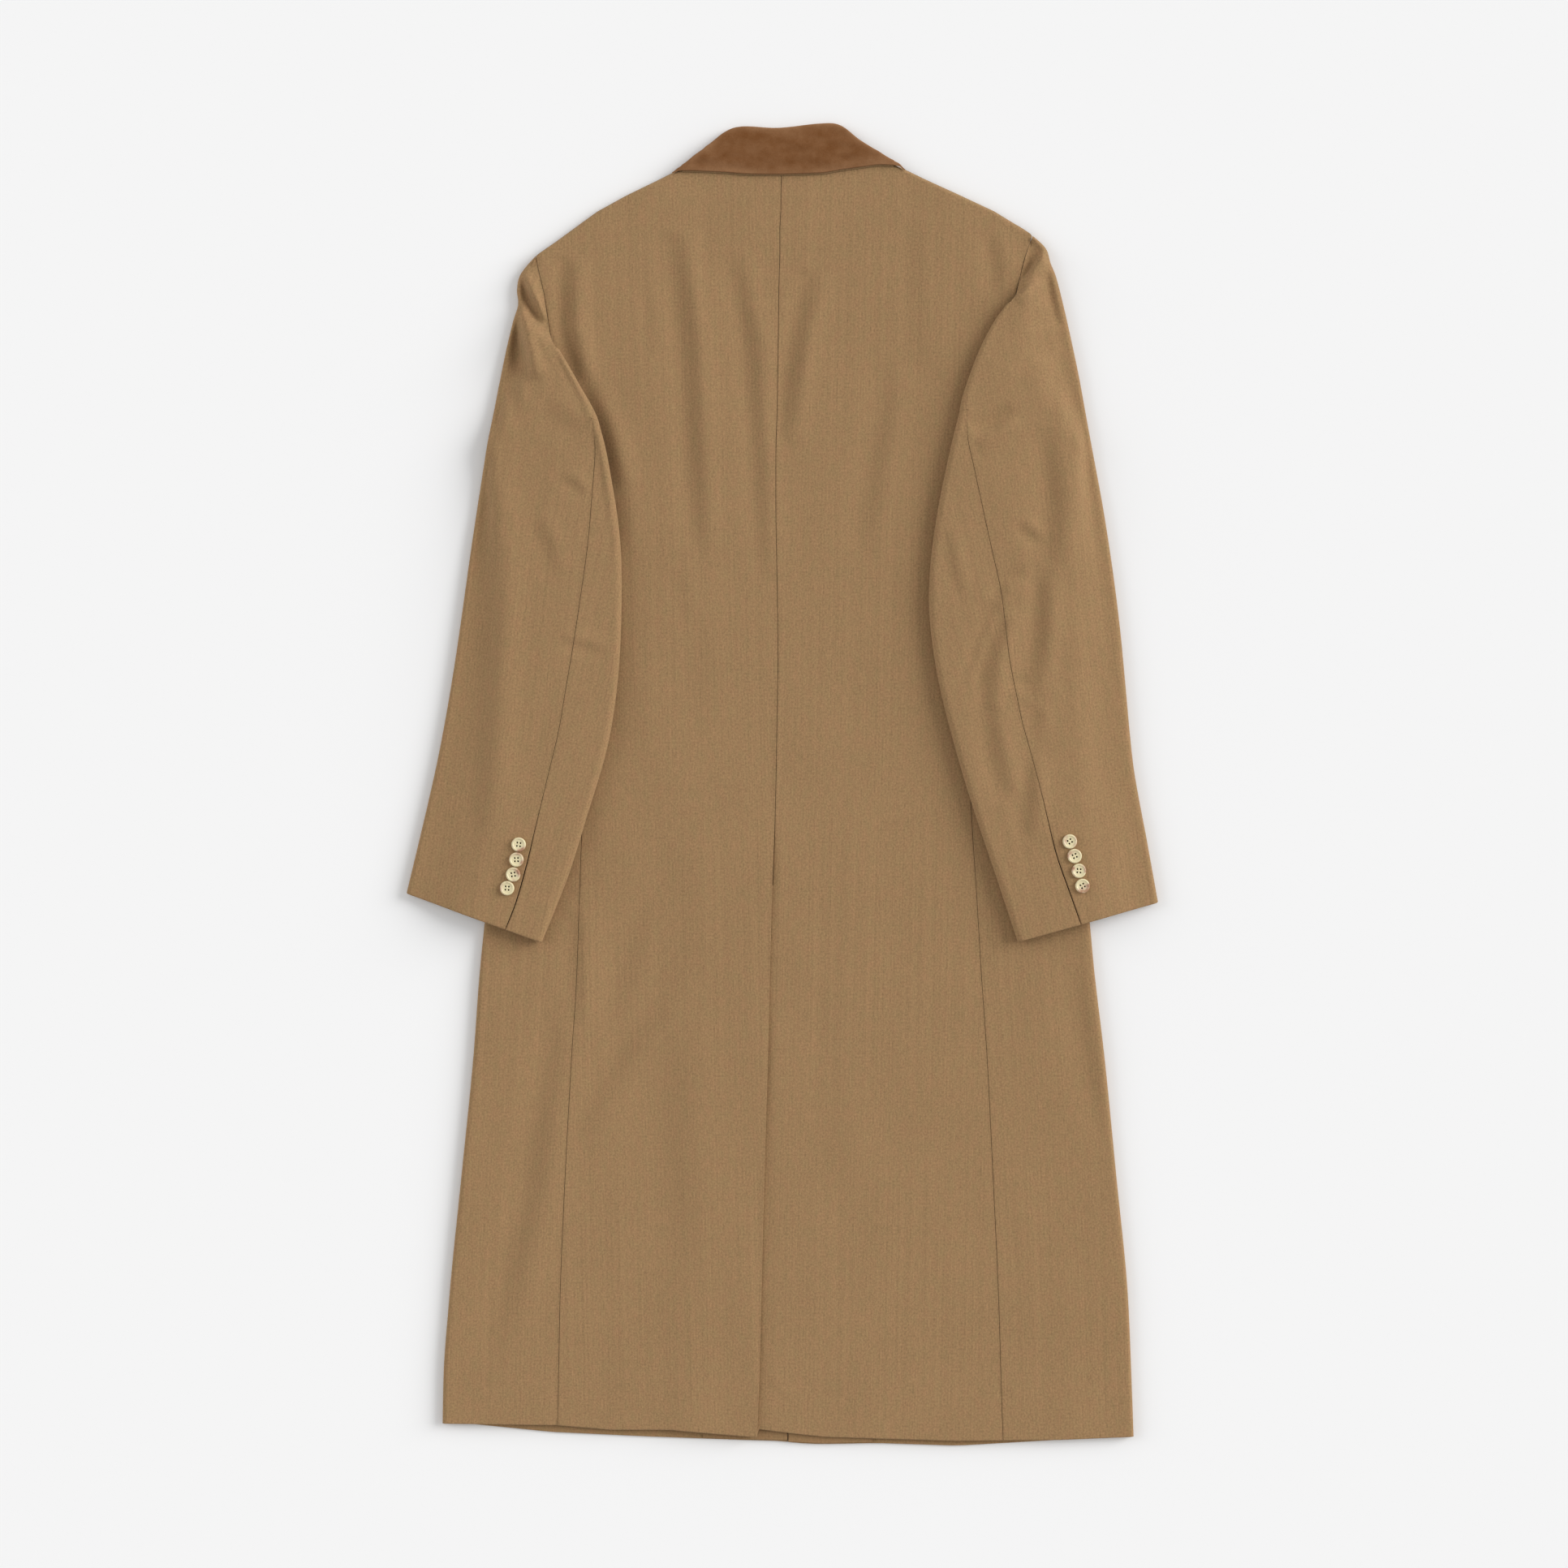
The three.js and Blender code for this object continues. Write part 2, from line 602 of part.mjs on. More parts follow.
const sleevePoint = (section, [s, z]) => {
  const p = section.point(s);
  return new THREE.Vector3(p.x, p.y, z);
};

const sleeveSections = (side, rows, elbowSeam, crossing, last) => {
  const stations = [];
  for (let station = 0; station < SEAM_STATION; station += 0.5) stations.push(station);
  for (let station = SEAM_STATION; station <= last; station++) stations.push(station);
  return stations.map((station) => sleeveStation(side, rows, elbowSeam, crossing, station));
};

// Top sleeve: from the seam below, round the outer contour and over to the elbow seam.
// Between the elbow seam's top and the armhole it also turns round the inner fold.
function topSleeve(side, rows, elbowSeam, crossing) {
  const sections = sleeveSections(side, rows, elbowSeam, crossing, LAST_STATION);
  const counts = { below: 2, arc: 3, above: 12, fold: 3, under: 2 };
  const outer = [];
  const inner = [];
  for (const section of sections) {
    const { station, width, low, high } = section;
    const radius = outerRadius(section);
    const floor = station > SEAM_STATION ? () => SLEEVE_FLOOR_GAP : low;
    const below = spread(counts.below, lowerSeam(section) - 2 * HIDDEN_GAP, radius).map((s) => [s, floor(s)]);
    const arc = foldArc(counts.arc, 0, radius, floor(radius), high(radius), 1);
    const pastFold = station >= SEAM_STATION && station < crossing - 0.5;
    const turned = width - foldRadius(section);
    let end = upperSeam(section) - HALF_GAP;
    if (station > SEAM_STATION) end = pastFold ? turned : width - HIDDEN_GAP;
    const above = spread(counts.above, radius, end).map((s) => [s, high(s)]);
    const path = [...below, ...arc, ...above];
    if (pastFold) {
      path.push(...foldArc(counts.fold, width, -foldRadius(section), low(turned), high(turned), 1).reverse());
      path.push(...spread(counts.under, turned, turned - UNDERLAY_WIDTH).map((s) => [s, low(s)]));
    }
    const lining = inset(path, WALL, -1);
    const whole = (points) => {
      const made = points.map((p) => sleevePoint(section, p));
      while (made.length < Object.values(counts).reduce((a, b) => a + b)) made.push(made[made.length - 1]);
      return made;
    };
    outer.push(whole(path));
    inner.push(whole(lining));
  }
  const firstFold = sections.findIndex((section) => section.station === SEAM_STATION);
  const lastFold = sections.findIndex((section) => section.station === crossing - 1);
  const plain = counts.below + counts.arc + counts.above - 1;
  return sheetGeometry(outer, inner, (i, j) => j < plain || (i >= firstFold && i < lastFold));
}

// Under sleeve: from the elbow seam round the inner fold to the forearm seam below.
function underSleeve(side, rows, elbowSeam, crossing) {
  const sections = sleeveSections(side, rows, elbowSeam, crossing, SEAM_STATION);
  const outer = [];
  const inner = [];
  for (const section of sections) {
    const { station, width, low, high } = section;
    const radius = foldRadius(section);
    const turned = width - radius;
    const path = [
      ...spread(3, upperSeam(section) + HALF_GAP, turned).map((s) => [s, high(s)]),
      ...foldArc(3, width, -radius, low(turned), high(turned), 1).reverse(),
      ...spread(6, turned, lowerSeam(section) + HIDDEN_GAP).map((s) => [s, low(s)]),
    ];
    const lowered = station === SEAM_STATION ? SEAM_GAP : 0;
    const made = (points) => points.map((p) => sleevePoint(section, p).sub(new THREE.Vector3(0, lowered, 0)));
    outer.push(made(path));
    inner.push(made(inset(path, WALL, -1)));
  }
  return sheetGeometry(outer, inner);
}

// A layer of the collar between two depths: the leaf on the back, over the fold line and down the stand.
function collarLayer(from, to, rim, [first, last]) {
  const allColumns = [];
  COLLAR_OUTLINE.forEach((row, k) => {
    allColumns.push(row.x);
    if (k < COLLAR_OUTLINE.length - 1) allColumns.push((row.x + COLLAR_OUTLINE[k + 1].x) / 2);
  });
  const columns = allColumns.filter((x) => x >= first && x <= last);
  const outer = [];
  const inner = [];
  for (const x of columns) {
    const station = COLLAR_OUTLINE.findIndex((row) => row.x >= x);
    const place = COLLAR_OUTLINE[station].x === x ? station : station - 0.5;
    const fold = smoothAt(COLLAR_OUTLINE, "fold", place);
    const edge = smoothAt(COLLAR_OUTLINE, "edge", place) - rim;
    const radius = Math.min(COLLAR_THICKNESS / 2, (fold - edge) * 0.45);
    const taper = Math.min(1, (fold - edge) / COLLAR_TAPER);
    const thickness = COLLAR_THICKNESS * taper;
    const neck = Math.min(NECK_SEAM, fold - radius - taper);
    const top = (y) => {
      const onBack = clearHeight(x, Math.min(y, COLLAR_REST)) - REST_GAP + SEAM_GAP + LEAF_LAYERS * taper;
      const atFold = SEAM_GAP + thickness;
      const past = Math.max(0, y - NECK_SEAM);
      return Math.max(atFold, onBack - 0.04 * past - 0.0035 * past ** 2);
    };
    const flatTop = top(fold - radius);
    const path = [
      ...spread(5, edge, fold - radius).map((y) => [y, top(y)]),
      ...foldArc(3, fold, -radius, flatTop - thickness, flatTop, 1).reverse(),
      ...spread(3, fold - radius, neck).map((y) => [y, top(y) - thickness]),
    ];
    const at = (points) => points.map(([y, z]) => new THREE.Vector3(x, y, z));
    outer.push(at(from ? inset(path, from * taper, -1) : path));
    inner.push(at(inset(path, to * taper, -1)));
  }
  return sheetGeometry(outer, inner);
}

// Front end of the collar, which lies flat under the coat beside the front's neck edge.
function collarEnd(side) {
  const sections = [NECK_POINT + 12, 520, COLLAR_END_TOP];
  const grid = (z) => sections.map((y) => {
    const share = (y - NECK_POINT) / (COLLAR_END_TOP - NECK_POINT);
    const inside = CENTRE_FRONT + side * NECK_OPENING * share;
    const outside = frontInside(side, y) - side * SEAM_GAP;
    return [outside, inside].map((x) => new THREE.Vector3(x, y, z));
  });
  return sheetGeometry(grid(WALL), grid(0));
}

const ring = (count, radius, x = 0, y = 0) => Array.from({ length: count }, (_, k) => {
  const angle = (2 * Math.PI * k) / count;
  return new THREE.Vector2(x + radius * Math.cos(angle), y + radius * Math.sin(angle));
});

// Four-hole button: a disc with chamfered edges, from its rear face up.
function buttonGeometry() {
  const outline = new THREE.Shape(ring(16, BUTTON_RADIUS - BUTTON_CHAMFER));
  for (const [sx, sy] of [[-1, -1], [1, -1], [1, 1], [-1, 1]]) {
    outline.holes.push(new THREE.Path(ring(5, BUTTON_HOLE, sx * BUTTON_HOLE_OFFSET, sy * BUTTON_HOLE_OFFSET)));
  }
  const geometry = new THREE.ExtrudeGeometry(outline, {
    depth: BUTTON_HEIGHT - 2 * BUTTON_CHAMFER,
    bevelSize: BUTTON_CHAMFER,
    bevelThickness: BUTTON_CHAMFER,
    bevelSegments: 1,
  });
  return geometry.translate(0, 0, BUTTON_CHAMFER);
}

const coat = new THREE.Group();

function addPiece(name, geometry, material) {
  geometry.computeVertexNormals();
  const mesh = new THREE.Mesh(geometry, material);
  mesh.name = name;
  coat.add(mesh);
  return mesh;
}

// Buttons stand on the sleeve below them, tilted as it is.
function addButtons(label, sleeve, places) {
  const caster = new THREE.Raycaster();
  places.forEach(({ x, y, turn }, k) => {
    caster.set(new THREE.Vector3(x, y, 100), new THREE.Vector3(0, 0, -1));
    const hit = caster.intersectObject(sleeve)[0];
    const button = addPiece(`button_${label}_${k + 1}`, buttonGeometry(), HORN);
    button.quaternion.setFromUnitVectors(new THREE.Vector3(0, 0, 1), hit.face.normal);
    button.rotateZ(THREE.MathUtils.degToRad(turn));
    button.position.copy(hit.point).addScaledVector(hit.face.normal, SEAM_GAP);
  });
}

const SIDES = [
  { label: "left", side: -1, rows: LEFT_SLEEVE, seam: LEFT_ELBOW_SEAM, crossing: 11, buttons: LEFT_BUTTONS },
  { label: "right", side: 1, rows: RIGHT_SLEEVE, seam: RIGHT_ELBOW_SEAM, crossing: 12, buttons: RIGHT_BUTTONS },
];

for (const { label, side, rows, seam, crossing, buttons } of SIDES) {
  addPiece(`front_${label}`, frontPanel(side), WOOL);
  addPiece(`facing_${label}`, facing(side), WOOL_INSIDE);
  addPiece(`back_${label}`, backPanel(side), WOOL);
  addPiece(`collar_end_${label}`, collarEnd(side), VELVET);
  const top = addPiece(`sleeve_${label}_top`, topSleeve(side, rows, seam, crossing), WOOL);
  addPiece(`sleeve_${label}_under`, underSleeve(side, rows, seam, crossing), WOOL);
  addButtons(label, top, buttons);
}
addPiece("collar", collarLayer(0, VELVET_WALL, 0, [-Infinity, Infinity]), VELVET);
addPiece("undercollar", collarLayer(VELVET_WALL + SEAM_GAP, LEAF_LAYERS, COLLAR_RIM, UNDERCOLLAR_SPAN), WOOL_INSIDE);

export default coat;
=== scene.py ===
import math

import bmesh
import bpy
import numpy as np
from mathutils import Matrix, Vector
from mathutils.bvhtree import BVHTree


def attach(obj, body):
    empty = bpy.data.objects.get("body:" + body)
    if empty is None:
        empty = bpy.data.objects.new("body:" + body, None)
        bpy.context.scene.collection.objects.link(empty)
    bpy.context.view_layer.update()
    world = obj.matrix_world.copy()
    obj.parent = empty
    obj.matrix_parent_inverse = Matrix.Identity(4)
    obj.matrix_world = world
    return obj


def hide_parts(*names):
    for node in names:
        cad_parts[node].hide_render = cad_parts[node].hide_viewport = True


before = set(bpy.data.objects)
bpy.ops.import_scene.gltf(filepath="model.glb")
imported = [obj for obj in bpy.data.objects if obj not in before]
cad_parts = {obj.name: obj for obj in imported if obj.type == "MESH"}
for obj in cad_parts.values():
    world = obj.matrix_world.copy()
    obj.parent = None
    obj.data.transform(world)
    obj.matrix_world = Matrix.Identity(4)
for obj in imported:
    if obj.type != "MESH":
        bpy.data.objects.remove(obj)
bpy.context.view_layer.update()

MM = 0.001

# Cloth and seams
WALL = 2.8
FACING_WALL = 1.3
VELVET_WALL = 1.6
UNDERCOLLAR_WALL = 1.2
SEAM_GAP = 0.3
HALF_GAP = SEAM_GAP / 2
HIDDEN_GAP = 0.45
REST_GAP = 0.5
REST_REACH = 12
SEAM_ROLL = 0.42
CENTRE_SEAM_ROLL = 0.58
CUFF_SEAM_ROLL = 0.85
CUFF_HALF_GAP = 0.45
CUFF_SEAM_START = 60
CUFF_SEAM_END = 150
SLEEVE_FOLD_DEPTH = 1.35
SLEEVE_CREASE_DEPTH = 1.7
BODY_FOLD_SHARPENING = 0.3
HEM_ROLL = 1.3
AWAY_FROM_SEAMS = 50

# Fine relief
BODY_WAVES = 0.28
BODY_RIPPLES = 0.05
SLEEVE_WAVES = 0.3
SLEEVE_RIPPLES = 0.07
COLLAR_RIPPLES = 0.35
PUCKER_HEIGHT = 0.16
PUCKER_REACH = 7
FINE_FADE = 14
CENTRE_FADE = 5

# Grid of the panels
ROW_STEP = 4
YOKE_ROWS_FROM = 500
YOKE_ROW_STEP = 2.5
COLUMN_STEP = 3.6
FACING_COLUMN_STEP = 9
FLAT_COLUMNS = 26
FOLD_POINTS = 15

# Body
CENTRE_FRONT = 5
FOLD_INSET = 5
FACING_START = 0.6
FACING_WIDTH = 84
FACING_SETBACK = 1.2
FACING_SIDE_ROLL = 0.5
FACING_ROLL = 0.6
VENT_TOP = -99
VENT_EASE = 75
VENT_UNDERLAP = 45
LAP_RISE = WALL + SEAM_GAP
UNDERARM = 325
BELOW_UNDERARM = UNDERARM - 0.01
ARMHOLE_TOP = 520
SHOULDER_POINT = 541
SHOULDER_TOP = 612
FRONT_TOP = 590
NECK_POINT = 420
NECK_SPREAD = 104
NECK_OPENING = 58
HEM_ROW = -640
HEM_BLEND = 120
SHOULDER_ROUND = 9
# Rows over which the back's outer edge changes from a seam to a round shoulder line
SHOULDER_STARTS = {"left": (520, 541), "right": (538, 556)}

# Sleeve stations: 0 is the cuff, 14 the shoulder
SEAM_STATION = 8
LAST_STATION = 14
SLEEVE_FLOOR_GAP = 0.4
SLEEVE_EDGE_THICKNESS = 9.4
SLEEVE_FOLD_THICKNESS = 12.5
SLEEVE_HEAD_THICKNESS = 9.5
FOREARM_SEAM_CLEARANCE = 10
UNDERLAY_WIDTH = 16
HEAD_SEAM_GAP = 0.1
UNDER_SLEEVE_GAP = 0.0006
TOP_SLEEVE_LEAN = 0.12
UNDER_SLEEVE_LEAN = 0.22
EDGE_FADE = 8
SEAM_FADE = 16
SLEEVE_DROP_START = 7
SLEEVE_DROP_REACH = 22
SLEEVE_DROP_INSET = 6

# Collar
LEAF_LAYERS = VELVET_WALL + SEAM_GAP + UNDERCOLLAR_WALL
COLLAR_THICKNESS = 2 * LEAF_LAYERS + 0.4
COLLAR_RIM = 1.1
NECK_SEAM = 612.5
COLLAR_REST_TOP = 605
COLLAR_END_TOP = 603
COLLAR_TAPER = 5.5
UNDERCOLLAR_SPAN = (-99, 109)

# Cuff buttons
BUTTON_RADIUS = 7.1
BUTTON_HOLE = 0.9
BUTTON_HOLE_OFFSET = 1.6
BUTTON_SIDES = 56
THREAD_RADII = (0.6, 0.5)
BUTTON_PROBES = ((0, 0), (5, 0), (-5, 0), (0, 5), (0, -5))
BUTTON_GAP = 0.1


def table(columns, rows):
    """Named columns of a short table, as arrays."""
    return dict(zip(columns.split(), np.array(rows, float).T))


BODY = table("y leftFold leftSeam centre rightSeam rightFold", [
    (-640, -335.5, -222, -25, 217, 346),
    (-587, -334.5, -221, -23, 215, 344),
    (-507, -329, -219.5, -21, 212.5, 340.5),
    (-387, -317, -214.5, -18, 207, 329),
    (-267, -305, -208, -14.5, 201, 317),
    (-187, -299, -203, -12.5, 195.5, 307.5),
    (-110, -291, -200.5, -10.5, 191, 300),
    (-27, -280.5, -197.5, -7.5, 186, 287),
    (53, -272.5, -195, -6, 183.5, 279),
    (133, -269, -192.5, -5, 183.5, 275.5),
    (213, -271, -194, -6, 187, 276.5),
    (277, -273.5, -199, -7, 193, 278.5),
    (325, -275, -205, -7, 202, 280),
])
YOKE = table("y leftBack centre rightBack leftFront rightFront", [
    (325, -205, -7, 202, -275, 280),
    (345, -211, -6.5, 207.5, -236, 236),
    (373, -218, -5.5, 215.5, -221, 218),
    (413, -224.5, -5, 221, -217, 214),
    (449, -230, -4.5, 224.5, -221, 219),
    (484.5, -235.5, -4, 230, -228, 226),
    (507, -241, -3.5, 235.5, -234, 231),
    (520.5, -243.5, -3, 239, -240, 236),
    (541, -216, -3, 246, -214, 244),
    (549, -205, -3, 235, -203, 233),
    (565, -183, -2, 209, -181, 207),
    (581, -154, -2, 175, -152, 173),
    (597, -121, -1.5, 140, -118, 137),
    (607, -101.5, -1, 119.5, -96, 114),
    (612, -92, -1, 108, -87, 102),
])
HEIGHT = table("y z", [
    (-660, 8.6), (-300, 9), (0, 9.3), (300, 9.5), (500, 9.9), (570, 9.4), (620, 8.6),
])
BACK_HEM = table("x y", [
    (-336, -630), (-222, -631.5), (-170, -636), (-109, -636), (-26, -643), (-23.5, -635.5),
    (4.5, -639), (41, -643), (171, -647), (271, -646), (346, -643),
])
FRONT_HEM = table("x y", [
    (-336, -630), (-307.5, -631), (-227.5, -639), (-131.5, -643.5), (-35.5, -647), (4, -648),
    (6, -649.5), (36.5, -651), (92.5, -650), (172.5, -652.5), (268.5, -647), (346, -643),
])

# Soft folds: three points each, half width, and height of the crest above the cloth around.
# A fold rises across its line towards the right, from a trough on the left to a crest.
FOLD_COLUMNS = "x0 y0 x1 y1 x2 y2 width height"
BODY_FOLDS = table(FOLD_COLUMNS, [
    (-104, 545, -90, 437, -80, 228, 10, 2.6),
    (-47, 525, -28, 430, -17, 204, 9, 1.8),
    (33, 505, 18, 437, 2, 335, 9, 2.6),
    (111, 412, 99, 340, 81, 226, 12, 1.6),
    (127, 560, 138, 456, 142, 395, 14, 0.8),
    (-209, 520, -209, 450, -196, 395, 8, 3.2),
    (-193, 398, -174, 350, -160, 290, 9, 1.8),
    (208, 545, 214, 505, 212, 480, 8, 1.6),
    (-173, 350, -163, 300, -155, 225, 12, 1.2),
    (-127, -104, -147, -179, -172, -246, 12, 0.9),
    (-95, -190, -150, -262, -201, -348, 12, 1.5),
    (-215, -205, -243, -400, -285, -575, 14, 1.9),
    (-200, -125, -201, -180, -201, -240, 9, 1.4),
    (293, -175, 308, -280, 325, -350, 12, 1.3),
    (-100, -225, -101, -350, -100, -480, 15, 0.4),
    (52, -200, 53, -290, 52, -380, 15, 0.4),
])
BODY_CREASES = table(FOLD_COLUMNS, [
    (-128, 490, -128, 455, -128, 425, 7, 0.7),
    (-100.5, 212, -97, 185, -92.5, 157, 9, 0.6),
    (-263, -279, -275, -318, -287.5, -354, 12, 0.6),
    (137, -16.5, 115, -28, 92.5, -39, 4, 0.7),
    (332.5, -548.5, 315, -564, 297, -579, 5, 0.6),
    (2, -608.5, -9, -592, -18, -579, 4, 0.4),
])
SLEEVE_FOLDS = table(FOLD_COLUMNS, [
    (-263, 476, -259, 436, -249, 396, 8, 3.4),
    (-256, 500, -247, 478, -236, 456, 6, 2.2),
    (-233, 375, -212, 360, -190, 342, 12, 1),
    (-281, 290, -280, 177, -296, -60, 12, 2.2),
    (262, 352, 271, 275, 264, 205, 11, 2.2),
    (259, 215, 256, 150, 246, 84, 9, 2.4),
    (222, 172, 205, 118, 203, 72, 8, 2.4),
    (203, 85, 210, 35, 222, -14, 9, 1.8),
    (229, 364, 207, 347, 188, 339, 8, 1.4),
    (258, 531, 244, 507, 224, 477, 7, 3),
    (246, 28, 245, -15, 240, -54, 8, 1.7),
    (319, 137, 322, 30, 322, -79, 13, 0.8),
])
SLEEVE_CREASES = table(FOLD_COLUMNS, [
    (-262, 470, -256, 438, -248, 400, 6.5, 1.9),
    (190, 341, 207, 349, 228, 362, 6, 1),
    (260, 531, 247, 510, 233, 491, 3, 1.2),
    (-257, 501, -248, 479, -235, 454, 4, 1.8),
    (-218, 142, -195, 137, -172, 132, 5, 0.8),
    (-217, 301, -204, 297, -194, 286, 5, 0.8),
    (-242, 262, -230, 240, -223, 205, 8, 0.8),
    (-216, 15, -207, 17.5, -199, 20, 4, 0.5),
    (180, 98, 197, 148, 213, 180, 5, 1.1),
    (211, 180, 221, 197, 241, 202, 6, 1.3),
    (233, 257, 243, 248, 257, 240, 6, 1.1),
    (218, 92, 230, 96, 242, 97.5, 5, 0.9),
    (163, 250, 167, 215, 176, 185, 7, 0.8),
    (263, 505, 268, 480, 275, 452, 5, 1),
    (232, 400, 248, 418, 268, 424, 8, 0.8),
    (250, 80, 253, 64, 245, 46, 7, 0.8),
])

# Sleeves, a row for each station: outer contour and inner fold or, at the head, the armhole seam.
LEFT_SLEEVE = table("outerX outerY innerX innerY", [
    (-371, -107.5, -237, -155.5), (-356, -45, -211.5, -92), (-341, 21, -192, -30),
    (-329, 85, -172, 38), (-319, 149, -162, 104), (-310, 213, -158.5, 170),
    (-300.5, 277, -159.5, 236), (-290.5, 336, -168, 298), (-279.5, 395, -181, 357),
    (-272.5, 429, -202, 397), (-266, 456, -219.5, 427.5), (-261, 473, -229, 444.5),
    (-262, 488, -233.3, 470), (-258.5, 503, -238, 493), (-244.1, 520.8, -242.5, 513),
])
RIGHT_SLEEVE = table("outerX outerY innerX innerY", [
    (370, -116.5, 231, -155), (358, -50, 208, -86), (346, 16, 186, -20),
    (339, 85, 166, 48), (333, 149, 151, 112), (325, 213, 143.5, 178),
    (315, 277, 148, 242), (303, 341, 159, 304), (292, 402, 173.5, 366),
    (284, 440, 187, 412), (276, 475, 204, 449), (269.5, 500, 220, 472),
    (264, 514, 230, 484.5), (259.5, 528, 237.3, 514), (246.9, 540.8, 243.7, 532.6),
])
LEFT_ELBOW_SEAM = table("y x", [
    (-170, -281), (-141, -272), (-104.5, -257.5), (-32.5, -240.5), (50, -220.5),
    (141, -205), (233, -191.5), (312.5, -185), (360, -183.5),
])
RIGHT_ELBOW_SEAM = table("y x", [
    (-170, 303), (-138, 293), (-66, 267.5), (5, 250.5), (68.5, 233), (125, 222),
    (186.5, 215), (251.5, 200.5), (325, 184.5), (370, 175.5),
])
COLLAR_OUTLINE = table("x fold edge", [
    (-109, 603, 602), (-104, 606.7, 603.6), (-99, 610.5, 604.2), (-87, 620, 604),
    (-75.5, 629, 603.5), (-55, 644.5, 602.5),
    (-39.5, 649, 601), (-5, 647.5, 600.5), (39.5, 652, 602), (57, 650, 605),
    (75.5, 635.5, 607.5), (95, 623.5, 610), (109, 615, 609.5), (115, 611.3, 608.3),
    (120.5, 605.9, 604.7),
])
LEFT_BUTTONS = table("x y turn", [
    (-259, -59, -8), (-261.2, -73.8, 2), (-264.4, -88.4, 10), (-270.4, -101.8, -5),
])
RIGHT_BUTTONS = table("x y turn", [
    (281.5, -56, 33), (286.2, -70.3, 25), (290.4, -84.8, -4), (294, -99.6, 30),
])


# Shapes shared by the pieces

def side_name(side):
    return "left" if side < 0 else "right"


def smooth_curve(keys, values):
    """A curve through points that doesn't pass beyond them, as a function."""
    steps = np.diff(keys)
    rises = np.diff(values) / steps
    slopes = np.concatenate([[rises[0]], np.zeros(len(keys) - 2), [rises[-1]]])
    for k in range(1, len(keys) - 1):
        if rises[k - 1] * rises[k] > 0:
            w0 = 2 * steps[k] + steps[k - 1]
            w1 = steps[k] + 2 * steps[k - 1]
            slopes[k] = (w0 + w1) / (w0 / rises[k - 1] + w1 / rises[k])

    def at(value):
        value = np.clip(np.asarray(value, float), keys[0], keys[-1])
        k = np.clip(np.searchsorted(keys, value, side="right") - 1, 0, len(keys) - 2)
        t = (value - keys[k]) / steps[k]
        return ((1 + 2 * t) * (1 - t) ** 2 * values[k] + t * (1 - t) ** 2 * steps[k] * slopes[k]
                + t * t * (3 - 2 * t) * values[k + 1] + t * t * (t - 1) * steps[k] * slopes[k + 1])

    return at


def smooth_at(column, station):
    """Value of a table's column at a station number, on a smooth curve through the rows."""
    station = np.asarray(station, float)
    last = len(column) - 1
    k = np.minimum(np.floor(station).astype(int), last - 1)
    t = station - k
    if column.ndim > 1:
        t = t.reshape(t.shape + (1,) * (column.ndim - 1))
    at = lambda n: column[np.clip(n, 0, last)]
    here, beyond = (at(k + 1) - at(k - 1)) / 2, (at(k + 2) - at(k)) / 2
    return ((2 * t ** 3 - 3 * t ** 2 + 1) * at(k) + (t ** 3 - 2 * t ** 2 + t) * here
            + (3 * t ** 2 - 2 * t ** 3) * at(k + 1) + (t ** 3 - t ** 2) * beyond)


def ramp(value, start, end):
    """Rises smoothly from 0 to 1 between two values, which may be given in falling order."""
    t = np.clip((np.asarray(value, float) - start) / (end - start), 0, 1)
    return t * t * (3 - 2 * t)


def mix(a, b, share):
    return a + (b - a) * share


def fold_rise(folds, x, y):
    """Rise of the cloth from the folds of a table at points. Each fold fades out at its ends."""
    x, y = np.broadcast_arrays(np.asarray(x, float), np.asarray(y, float))
    rise = np.zeros(x.shape)
    for k in range(len(folds["x0"])):
        fold = {name: column[k] for name, column in folds.items()}
        nearest = np.full(x.shape, np.inf)
        along = np.zeros(x.shape)
        away = np.zeros(x.shape)
        for leg in (0, 1):
            ax, ay = fold[f"x{leg}"], fold[f"y{leg}"]
            bx, by = fold[f"x{leg + 1}"] - ax, fold[f"y{leg + 1}"] - ay
            share = np.clip(((x - ax) * bx + (y - ay) * by) / (bx ** 2 + by ** 2), 0, 1)
            distance = np.hypot(x - ax - share * bx, y - ay - share * by)
            across = ((x - ax) * by - (y - ay) * bx) * np.sign(by)
            closer = distance < nearest
            nearest = np.where(closer, distance, nearest)
            along = np.where(closer, (leg + share) / 2, along)
            away = np.where(closer, np.sign(across) * distance / fold["width"], away)
        fade = np.sqrt(np.maximum(0, np.sin(np.pi * along)))
        rise += fold["height"] * fade * away * np.exp((1 - away ** 2) / 2)
    return rise


def waves(x, y, seed, shortest, longest, lean):
    """Soft uneven height between about -1 and 1. A lean over 1 draws it out along Y."""
    rng = np.random.default_rng(seed)
    total = np.zeros(np.broadcast(x, y).shape)
    count = 12
    for _ in range(count):
        length = rng.uniform(shortest, longest)
        angle = rng.uniform(0, 2 * np.pi)
        phase = rng.uniform(0, 2 * np.pi)
        total += np.sin(2 * np.pi * (x * np.cos(angle) + y * np.sin(angle) / lean) / length + phase)
    return total / math.sqrt(count)


BODY_LINES = {name: smooth_curve(BODY["y"], BODY[name]) for name in BODY if name != "y"}


def body_line(y, lower, upper):
    """A line of the body: a column of the lower table, and above the underarm one of the yoke's."""
    return np.where(y < UNDERARM, BODY_LINES[lower](y), np.interp(y, YOKE["y"], YOKE[upper]))


def centre_back(y):
    return body_line(y, "centre", "centre")


def back_edge(side, y):
    """Outer edge of a back panel: the side-back seam, then the armhole, then the shoulder line."""
    return body_line(y, side_name(side) + "Seam", side_name(side) + "Back")


def front_edge(side, y):
    """Outer edge of the body on the surface below: the side fold, then the front armhole."""
    return body_line(y, side_name(side) + "Fold", side_name(side) + "Front")


